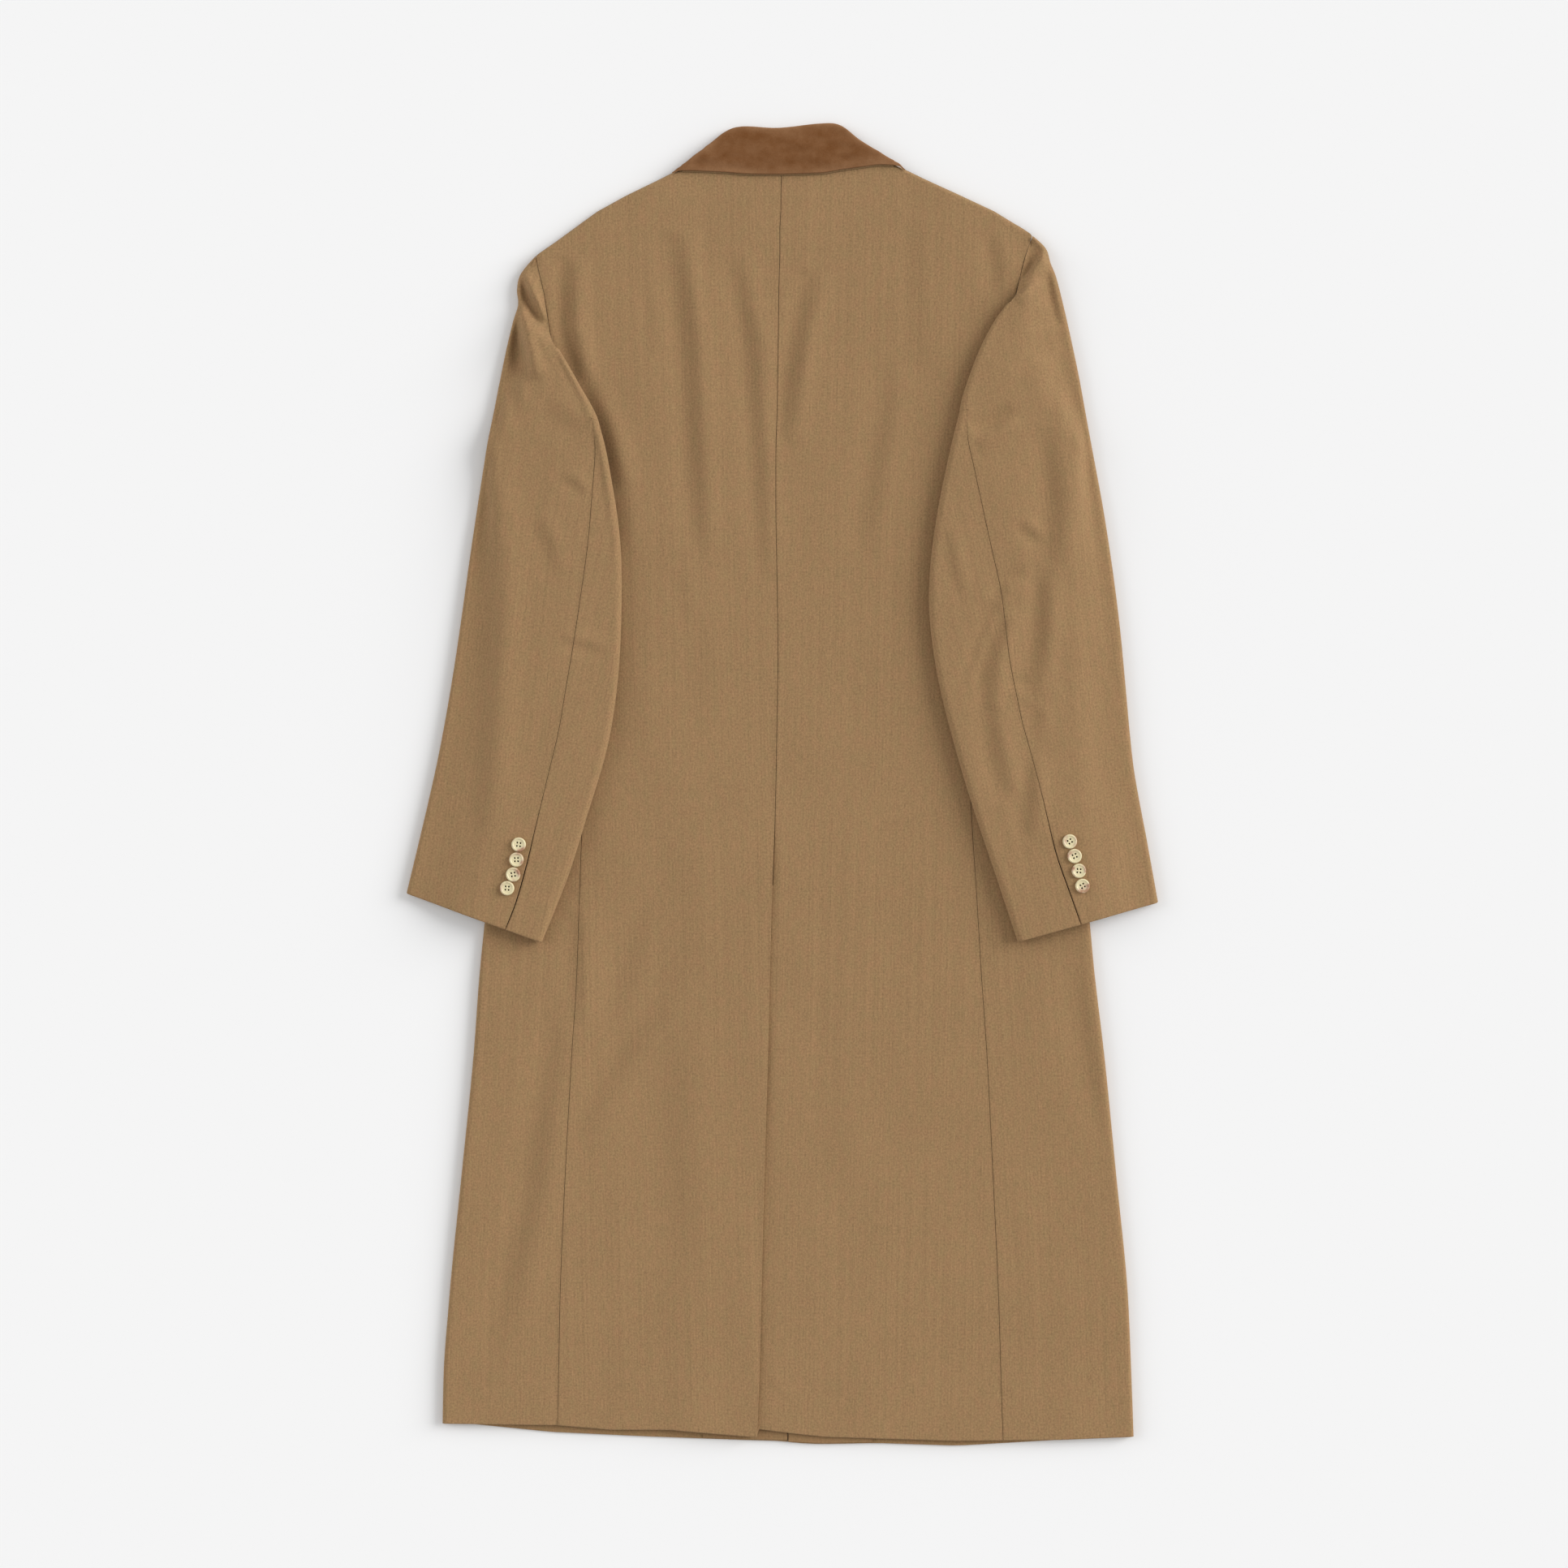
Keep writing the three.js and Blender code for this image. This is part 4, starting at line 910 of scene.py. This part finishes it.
def under_sleeve(side, rows, elbow, crossing):
    """From the elbow seam round the inner fold to the forearm seam below."""
    stations = sleeve_stations(SEAM_STATION)
    above_count, fold_count = len(EDGE_STEPS) + 19, 10
    made = []
    for station in stations:
        section = Section(side, rows, elbow, crossing, station)
        width, radius = section.width, section.fold_radius
        turned = width - radius
        start = section.upper_seam + seam_half_gap(station)
        near = start + EDGE_STEPS * min(1, (turned - start) / 14)
        rest = np.linspace(near[-1], turned, above_count - len(near) + 1)[1:]
        above_s = np.concatenate([near, rest])
        low, high = float(section.low(turned)), float(section.high(turned))
        fold_s, fold_z = arc(fold_count, width, -radius, low, high)
        below_s = mix(turned, section.lower_seam + HIDDEN_GAP, SHARES_UNDER)
        s = np.concatenate([above_s, fold_s[::-1], below_s])
        z = np.concatenate([section.high(above_s), fold_z[::-1], section.low(below_s)])
        upper = np.concatenate([np.ones(above_count), np.linspace(1, 0, fold_count), np.zeros(len(below_s))])
        made.append(section_points(section, s, z, upper))
    wanted = fine_stations(SEAM_STATION) * (1 - UNDER_SLEEVE_GAP)
    outer, inner, facts = (between_stations(layer, stations, wanted) for layer in zip(*made))
    seam_distance = np.abs(facts[..., 0] - facts[:, :1, 0])
    seam_distance[:, above_count:] = AWAY_FROM_SEAMS
    return finish_sleeve(f"sleeve_{side_name(side)}_under", outer, inner, facts, side, None, seam_distance,
                         0, above_count - 1, UNDER_SLEEVE_LEAN)


# Collar

def collar_layer(name, start, end, rim, span=(-math.inf, math.inf)):
    """A layer of the collar between two depths: leaf, fold line and stand."""
    xs = COLLAR_OUTLINE["x"]
    first, last = max(xs[0], span[0]), min(xs[-1], span[1])
    close = EDGE_STEPS[:6]
    x = np.unique(np.concatenate([np.linspace(first, last, 160), first + close, last - close]))
    place = np.interp(x, xs, np.arange(len(xs)))
    fold = smooth_at(COLLAR_OUTLINE["fold"], place)
    edge = smooth_at(COLLAR_OUTLINE["edge"], place) - rim
    radius = np.minimum(COLLAR_THICKNESS / 2, (fold - edge) * 0.45)
    taper = np.minimum(1, (fold - edge) / COLLAR_TAPER)
    thickness = (COLLAR_THICKNESS * taper)[:, None]
    neck = np.minimum(NECK_SEAM, fold - radius - taper)

    def top(y):
        columns = np.broadcast_to(x[:, None], y.shape)
        body = clear_height(columns, np.minimum(y, COLLAR_REST_TOP)) - REST_GAP
        on_back = body + SEAM_GAP + LEAF_LAYERS * taper[:, None]
        past = np.maximum(0, y - NECK_SEAM)
        return np.maximum(SEAM_GAP + thickness, on_back - 0.04 * past - 0.0035 * past ** 2)

    flat_end = fold - radius
    shares = np.concatenate([np.array([0, 0.01, 0.025, 0.045, 0.075, 0.11]), np.linspace(0.15, 1, 20)])
    leaf = edge[:, None] + (flat_end - edge)[:, None] * shares
    flat_top = top(flat_end[:, None])
    angles = np.linspace(np.pi / 2, -np.pi / 2, 14)[1:-1]
    fold_y = fold[:, None] - radius[:, None] * (1 - np.cos(angles))
    fold_z = flat_top - thickness / 2 + thickness / 2 * np.sin(angles)
    stand = mix(flat_end[:, None], neck[:, None], np.linspace(0, 1, 6))
    ripple = COLLAR_RIPPLES * waves(x[:, None], leaf * 2.2, 31, 22, 60, 1)
    ripple = ripple * ramp(leaf, edge[:, None], edge[:, None] + 6) * ramp(flat_end[:, None] - leaf, 0, 8)
    y = np.concatenate([leaf, fold_y, stand], axis=1)
    z = np.concatenate([top(leaf) + ripple, fold_z, top(stand) - thickness], axis=1)
    depth = taper[:, None]
    out_y, out_z = inset(y, z, start * depth, -1) if start else (y, z)
    in_y, in_z = inset(y, z, end * depth, -1)
    distance = y - edge[:, None]
    distance[:, leaf.shape[1]:] = AWAY_FROM_SEAMS
    roll = edge_roll(distance, (end - start) * 0.45) * taper[:, None]
    columns = np.broadcast_to(x[:, None], y.shape)
    outer = np.stack([columns, out_y, out_z - roll], axis=2)
    inner = np.stack([columns, in_y, in_z + roll * 0.3], axis=2)
    weave = np.stack([columns, y], axis=2)
    to_end = np.minimum(x - x[0], x[-1] - x)[:, None]
    # Mask of painted light near the leaf's edge, the fold and the ends: a painted sheen on the velvet, a
    # painted shade on the undercollar's wool.
    painted_edge_light = near_seam(distance, 8) + near_seam(fold[:, None] - y, 5) + near_seam(to_end, 16)
    return cloth(name, outer, inner, None, weave, np.minimum(painted_edge_light, 1))


def collar_end(side):
    """Front end of the collar, which lies flat under the coat beside the front's neck edge."""
    y = np.linspace(NECK_POINT + 12, COLLAR_END_TOP, 60)
    share = (y - NECK_POINT) / (COLLAR_END_TOP - NECK_POINT)
    inside = CENTRE_FRONT + side * NECK_OPENING * share
    outside = front_inside(side, y) - side * SEAM_GAP
    x = np.linspace(outside, inside, 14, axis=1)
    rows_y = np.broadcast_to(y[:, None], x.shape)
    outer = np.stack([x, rows_y, np.full(x.shape, WALL)], axis=2)
    inner = np.stack([x, rows_y, np.zeros(x.shape)], axis=2)
    from_seam = np.abs(x - outside[:, None])
    weave = np.stack([from_seam, rows_y], axis=2)
    return cloth("collar_end_" + side_name(side), outer, inner, None, weave, near_seam(from_seam))


# Materials

def nodes_of(name):
    material = bpy.data.materials.new(name)
    material.use_nodes = True
    tree = material.node_tree
    return material, tree, tree.nodes["Principled BSDF"]


def link(tree, source, target):
    tree.links.new(source, target)


def math_node(tree, operation, a, b=None):
    node = tree.nodes.new("ShaderNodeMath")
    node.operation = operation
    for socket, value in zip(node.inputs, (a, b)):
        if value is None:
            continue
        if isinstance(value, (int, float)):
            socket.default_value = value
        else:
            link(tree, value, socket)
    return node.outputs[0]


def noise(tree, coordinates, scale, detail=2.0, stretch=(1, 1, 1), roughness=0.5):
    mapping = tree.nodes.new("ShaderNodeMapping")
    mapping.inputs["Scale"].default_value = stretch
    link(tree, coordinates, mapping.inputs["Vector"])
    node = tree.nodes.new("ShaderNodeTexNoise")
    node.inputs["Scale"].default_value = scale
    node.inputs["Detail"].default_value = detail
    node.inputs["Roughness"].default_value = roughness
    link(tree, mapping.outputs["Vector"], node.inputs["Vector"])
    return node.outputs["Fac"]


def between(tree, factor, first, second):
    """A colour between two others."""
    node = tree.nodes.new("ShaderNodeMix")
    node.data_type = "RGBA"
    link(tree, factor, node.inputs[0])
    for socket, colour in zip([s for s in node.inputs if s.type == "RGBA"], (first, second)):
        if isinstance(colour, bpy.types.NodeSocket):
            link(tree, colour, socket)
        else:
            socket.default_value = (*colour, 1)
    return next(s for s in node.outputs if s.type == "RGBA")


def added(tree, *values):
    total = values[0]
    for value in values[1:]:
        total = math_node(tree, "ADD", total, value)
    return total


def signed(tree, value, amount):
    """A texture's value moved to lie round zero, times an amount."""
    return math_node(tree, "MULTIPLY", math_node(tree, "SUBTRACT", value, 0.5), amount)


def flat_place(tree):
    """Each point's place on the flat cloth."""
    flat = tree.nodes.new("ShaderNodeUVMap")
    flat.uv_map = "UVMap"
    return flat.outputs["UV"]


def attribute(tree, name):
    node = tree.nodes.new("ShaderNodeAttribute")
    node.attribute_name = name
    return node.outputs["Fac"]


def colour_by(tree, shader, colour, factor):
    """Gives the surface a colour times a factor."""
    scale = tree.nodes.new("ShaderNodeVectorMath")
    scale.operation = "SCALE"
    if isinstance(colour, bpy.types.NodeSocket):
        link(tree, colour, scale.inputs[0])
    else:
        scale.inputs[0].default_value = colour
    link(tree, factor, scale.inputs["Scale"])
    link(tree, scale.outputs["Vector"], shader.inputs["Base Color"])


def relief(tree, shader, height, strength, distance):
    bump = tree.nodes.new("ShaderNodeBump")
    bump.inputs["Strength"].default_value = strength
    bump.inputs["Distance"].default_value = distance
    link(tree, height, bump.inputs["Height"])
    link(tree, bump.outputs["Normal"], shader.inputs["Normal"])


def gloss(shader, roughness, specular):
    shader.inputs["Roughness"].default_value = roughness
    shader.inputs["Specular IOR Level"].default_value = specular


def soft_sheen(shader, weight, roughness, tint):
    shader.inputs["Sheen Weight"].default_value = weight
    shader.inputs["Sheen Roughness"].default_value = roughness
    shader.inputs["Sheen Tint"].default_value = (*tint, 1)


WOOL_COLOUR = (0.3146, 0.1906, 0.0903)
WOOL_INSIDE_COLOUR = (0.3, 0.18, 0.085)
VELVET_DARK = (0.158, 0.064, 0.022)
VELVET_LIGHT = (0.268, 0.138, 0.066)
HORN_DARK = (0.4, 0.21, 0.12, 1)
HORN_MIDDLE = (0.62, 0.47, 0.31, 1)
HORN_PALE = (0.74, 0.65, 0.4, 1)
THREAD_COLOUR = (0.025, 0.015, 0.01)
RIB_SPACING = 0.00125


def woven(name, colour, grain, sheen):
    """Wool twill: warp streaks, fine diagonal ribs, and a nap that blurs them."""
    material, tree, shader = nodes_of(name)
    place = flat_place(tree)
    grains = noise(tree, place, 1, 1.0, (560, 500, 1))
    streaks = noise(tree, place, 1, 1.0, (650, 90, 1))
    stripes = noise(tree, place, 1, 1.0, (600, 3, 1))
    clouds = noise(tree, place, 14, 3.0)
    axes = tree.nodes.new("ShaderNodeSeparateXYZ")
    link(tree, place, axes.inputs[0])
    diagonal = math_node(tree, "ADD", axes.outputs["X"], axes.outputs["Y"])
    ribs = math_node(tree, "SINE", math_node(tree, "MULTIPLY", diagonal, 2 * math.pi / RIB_SPACING))
    # Painted shade: the wool is drawn darker near its seams, and on the undercollar near its edge, fold and
    # ends.
    painted_seam_shade = math_node(tree, "MULTIPLY", attribute(tree, "seam"), -0.08)
    tone = added(tree, signed(tree, streaks, 0.26 * grain), signed(tree, grains, 0.68 * grain),
                 signed(tree, stripes, 0.24 * grain), signed(tree, clouds, 0.1),
                 math_node(tree, "MULTIPLY", ribs, 0.03 * grain), painted_seam_shade, 1)
    dyes = noise(tree, place, 1, 2.0, (130, 60, 1))
    reddish = [part * tint for part, tint in zip(colour, (1.08, 0.98, 1.03))]
    greenish = [part * tint for part, tint in zip(colour, (0.92, 1.02, 0.97))]
    colour_by(tree, shader, between(tree, dyes, reddish, greenish), tone)
    height = added(tree, math_node(tree, "MULTIPLY", ribs, 0.25), math_node(tree, "ADD", grains, streaks))
    relief(tree, shader, height, 0.4, 0.0002)
    gloss(shader, 0.92, 0.12)
    soft_sheen(shader, sheen, 0.6, (0.95, 0.82, 0.62))
    return material


def velvet_material():
    """Brown velvet: a nap brushed in patches, drawn lighter at the edges and the fold as a painted sheen."""
    material, tree, shader = nodes_of("velvet_pile")
    place = flat_place(tree)
    pile = noise(tree, place, 700, 2.0)
    brushed = noise(tree, place, 1, 3.0, (38, 60, 1))
    patches = noise(tree, place, 95, 3.0, roughness=0.6)
    # Painted sheen: the seam attribute lightens the velvet near its edges, its fold and its ends.
    painted_edge_light = math_node(tree, "MULTIPLY", attribute(tree, "seam"), 0.55)
    nap = added(tree, signed(tree, brushed, 1.2), signed(tree, patches, 0.8), painted_edge_light, 0.2)
    clamped = tree.nodes.new("ShaderNodeClamp")
    link(tree, nap, clamped.inputs["Value"])
    shade = between(tree, clamped.outputs["Result"], VELVET_DARK, VELVET_LIGHT)
    colour_by(tree, shader, shade, math_node(tree, "ADD", signed(tree, pile, 0.3), 1))
    relief(tree, shader, pile, 0.5, 0.0003)
    gloss(shader, 1, 0.05)
    soft_sheen(shader, 0.5, 0.35, (0.75, 0.5, 0.32))
    return material


def horn_material():
    """Pale horn with pinkish-brown clouds, which keep clear of the button's middle."""
    material, tree, shader = nodes_of("pale_horn")
    place = tree.nodes.new("ShaderNodeTexCoord").outputs["Object"]
    clouds = noise(tree, place, 95, 2.0)
    grain = noise(tree, place, 700, 2.0)
    lighter = math_node(tree, "MULTIPLY", attribute(tree, "middle"), 0.2)
    levels = tree.nodes.new("ShaderNodeValToRGB")
    dark, pale = levels.color_ramp.elements
    dark.position, dark.color = 0.36, HORN_DARK
    pale.position, pale.color = 0.56, HORN_PALE
    levels.color_ramp.elements.new(0.46).color = HORN_MIDDLE
    link(tree, added(tree, clouds, signed(tree, grain, 0.08), lighter), levels.inputs["Fac"])
    link(tree, levels.outputs["Color"], shader.inputs["Base Color"])
    gloss(shader, 0.38, 0.45)
    return material


def thread_material():
    material, tree, shader = nodes_of("button_thread")
    place = tree.nodes.new("ShaderNodeTexCoord").outputs["Object"]
    strands = noise(tree, place, 2600, 1.0)
    colour_by(tree, shader, THREAD_COLOUR, math_node(tree, "ADD", strands, 0.5))
    shader.inputs["Roughness"].default_value = 0.85
    return material


# Buttons

BUTTON_PROFILE = [
    (0, 0), (6, 0), (6.8, 0.35), (BUTTON_RADIUS, 1), (BUTTON_RADIUS, 2), (6.85, 2.75), (6.4, 3.1), (5.9, 3.2),
    (5.4, 3.05), (5.05, 2.7), (4.7, 2.45), (4.2, 2.4), (2.6, 2.3), (0, 2.35),
]


def pegs(name, radii, depth, height, segments):
    """Four upright pegs at the holes of a button, as one mesh, with their middles at a height."""
    made = bmesh.new()
    for sx, sy in ((-1, -1), (1, -1), (1, 1), (-1, 1)):
        place = Matrix.Translation((sx * BUTTON_HOLE_OFFSET * MM, sy * BUTTON_HOLE_OFFSET * MM, height * MM))
        bmesh.ops.create_cone(made, cap_ends=True, segments=segments, radius1=radii[0] * MM,
                              radius2=radii[1] * MM, depth=depth * MM, matrix=place)
    return finished_mesh(name, made)


def finished_mesh(name, made):
    mesh = bpy.data.meshes.new(name)
    made.to_mesh(mesh)
    made.free()
    return mesh


def button_ring(turned, radius, height):
    """A ring of points of the turned button, or a single point on its axis."""
    if radius == 0:
        return [turned.verts.new((0, 0, height * MM))]
    angles = [2 * math.pi * k / BUTTON_SIDES for k in range(BUTTON_SIDES)]
    return [turned.verts.new((radius * MM * math.cos(angle), radius * MM * math.sin(angle), height * MM))
            for angle in angles]


def button_mesh():
    """A turned button with a raised rim, cut by its four holes."""
    turned = bmesh.new()
    rings = [button_ring(turned, radius, height) for radius, height in BUTTON_PROFILE]
    for lower, upper in zip(rings, rings[1:]):
        for k in range(BUTTON_SIDES):
            n = (k + 1) % BUTTON_SIDES
            if len(lower) == 1:
                turned.faces.new((lower[0], upper[n], upper[k]))
            elif len(upper) == 1:
                turned.faces.new((lower[k], lower[n], upper[0]))
            else:
                turned.faces.new((lower[k], lower[n], upper[n], upper[k]))
    bmesh.ops.recalc_face_normals(turned, faces=turned.faces)
    body = new_object("button_turned", finished_mesh("button_turned", turned))
    cutter = new_object("button_drill", pegs("button_drill", (BUTTON_HOLE, BUTTON_HOLE), 6, 1.5, 14))
    cut = body.modifiers.new("holes", "BOOLEAN")
    cut.object = cutter
    cut.operation = "DIFFERENCE"
    cut.solver = "EXACT"
    made = bpy.data.meshes.new_from_object(body.evaluated_get(bpy.context.evaluated_depsgraph_get()))
    for thing in (body, cutter):
        bpy.data.objects.remove(thing)
    from_middle = np.array([math.hypot(v.co.x, v.co.y) for v in made.vertices]) / (BUTTON_RADIUS * MM)
    clear = np.clip(1.3 - 1.6 * from_middle, 0, 1).astype(np.float32)
    made.attributes.new("middle", "FLOAT", "POINT").data.foreach_set("value", clear)
    return made


def thread_mesh():
    """Ends of the sewing thread, sunk in the four holes."""
    return pegs("button_thread", THREAD_RADII, 1.1, 0.45, 10)


def add_buttons(label, sleeve, places, horn, thread):
    """Lays the buttons on a sleeve's surface, each tilted as the cloth below it."""
    points = [v.co for v in sleeve.data.vertices]
    tree = BVHTree.FromPolygons(points, [tuple(p.vertices) for p in sleeve.data.polygons])
    for k in range(len(places["x"])):
        x, y, turn = places["x"][k] * MM, places["y"][k] * MM, places["turn"][k]
        hits = [tree.ray_cast(Vector((x + dx * MM, y + dy * MM, 0.1)), Vector((0, 0, -1)))
                for dx, dy in BUTTON_PROBES]
        normal = sum((hit[1] for hit in hits), Vector()).normalized()
        top = max((hit[0] - hits[0][0]).dot(normal) for hit in hits)
        rest = hits[0][0] + normal * (top + BUTTON_GAP * MM)
        tilt = Vector((0, 0, 1)).rotation_difference(normal).to_matrix().to_4x4()
        place = Matrix.Translation(rest) @ tilt @ Matrix.Rotation(math.radians(turn), 4, "Z")
        for kind, source, material in (("horn", BUTTON_SHAPE, horn), ("thread", THREAD_SHAPE, thread)):
            mesh = source.copy()
            mesh.transform(place)
            mesh.polygons.foreach_set("use_smooth", np.ones(len(mesh.polygons), bool))
            node = f"button_{label}_{k + 1}"
            piece = new_object(f"{node}_{kind}", mesh)
            dress(piece, material, "horn", *([node] if kind == "horn" else []))


WOOL = woven("wool_twill", WOOL_COLOUR, grain=1, sheen=0.12)
WOOL_INSIDE = woven("wool_twill_inside", WOOL_INSIDE_COLOUR, grain=0.8, sheen=0.1)
VELVET = velvet_material()
HORN = horn_material()
THREAD = thread_material()
BUTTON_SHAPE = button_mesh()
THREAD_SHAPE = thread_mesh()

# The floor comes first, because the fronts rest on it. It lies a little lower than their undersides.
FLOOR_SIZE = 14
FLOOR_HEIGHT = -0.0004
FLOOR_GREY = 0.913
bpy.ops.mesh.primitive_plane_add(size=FLOOR_SIZE, location=(0, 0, FLOOR_HEIGHT))
floor = bpy.context.object
floor.name = "floor"
floor_material, _, floor_shader = nodes_of("pale_floor")
floor_shader.inputs["Base Color"].default_value = (FLOOR_GREY, FLOOR_GREY, FLOOR_GREY, 1)
gloss(floor_shader, 1, 0)
floor.data.materials.append(floor_material)

# Each side's name and sign, its sleeve, the station at which that comes onto the back, and its buttons.
SIDES = (
    ("left", -1, LEFT_SLEEVE, LEFT_ELBOW_SEAM, 11, LEFT_BUTTONS),
    ("right", 1, RIGHT_SLEEVE, RIGHT_ELBOW_SEAM, 12, RIGHT_BUTTONS),
)


def declare(piece):
    """Reads the piece's places on the flat cloth into an array, and does nothing more with them."""
    layer = piece.data.uv_layers["UVMap"].data
    flat = np.zeros(len(layer) * 2, np.float32)
    layer.foreach_get("uv", flat)


for label, side, sleeve_rows, elbow_seam, crossing, buttons in SIDES:
    front = dress(front_panel(side), WOOL, "wool", f"front_{label}")
    lining = dress(facing_panel(side), WOOL_INSIDE, "wool_inside", f"facing_{label}")
    back = dress(back_panel(side), WOOL, "wool", f"back_{label}")
    end = dress(collar_end(side), VELVET, "velvet", f"collar_end_{label}")
    sleeve = (side, sleeve_rows, elbow_seam, crossing)
    top = dress(top_sleeve(*sleeve), WOOL, "wool", f"sleeve_{label}_top")
    under = dress(under_sleeve(*sleeve), WOOL, "wool", f"sleeve_{label}_under")
    declare(front)
    declare(lining)
    declare(back)
    declare(end)
    declare(under)
    declare(top)
    add_buttons(label, top, buttons, HORN, THREAD)

collar = dress(collar_layer("collar", 0, VELVET_WALL, 0), VELVET, "velvet", "collar")
inside_layer = collar_layer("undercollar", VELVET_WALL + SEAM_GAP, LEAF_LAYERS, COLLAR_RIM, UNDERCOLLAR_SPAN)
undercollar = dress(inside_layer, WOOL_INSIDE, "wool_inside", "undercollar")
declare(collar)
declare(undercollar)

# Soft studio light: an even dome, and wide soft lights from the right and, weaker, the left.
DOME_STRENGTH = 0.52
scene = bpy.context.scene
world = bpy.data.worlds.new("studio")
scene.world = world
world.use_nodes = True
dome = world.node_tree.nodes["Background"]
dome.inputs["Color"].default_value = (1, 1, 1, 1)
dome.inputs["Strength"].default_value = DOME_STRENGTH


def soft_light(name, share, height, turn, size):
    """A wide far light. Its share is of the light that falls on the surface below the coat."""
    data = bpy.data.lights.new(name, "SUN")
    data.energy = share * math.pi / math.sin(math.radians(height))
    data.angle = math.radians(size)
    lamp = new_object(name, data)
    height, turn = math.radians(height), math.radians(turn)
    towards = Vector((math.cos(height) * math.cos(turn), math.cos(height) * math.sin(turn), math.sin(height)))
    lamp.rotation_euler = towards.to_track_quat("Z", "Y").to_euler()


soft_light("right_light", share=0.36, height=25, turn=20, size=38)
soft_light("left_light", share=0.12, height=24, turn=165, size=40)

# Camera straight above the middle of the photograph.
FRAME_WIDTH = 1.5456
LENS = 85
SENSOR = 36
MEAN_EDGE_HEIGHT = 0.006
CAMERA_X = 0.0012
CAMERA_Y = 0.0004
camera_data = bpy.data.cameras.new("camera")
camera_data.lens = LENS
camera_data.sensor_width = SENSOR
camera = new_object("camera", camera_data)
camera.location = (CAMERA_X, CAMERA_Y, FRAME_WIDTH * LENS / SENSOR + MEAN_EDGE_HEIGHT)
scene.camera = camera
scene.view_settings.view_transform = "Standard"
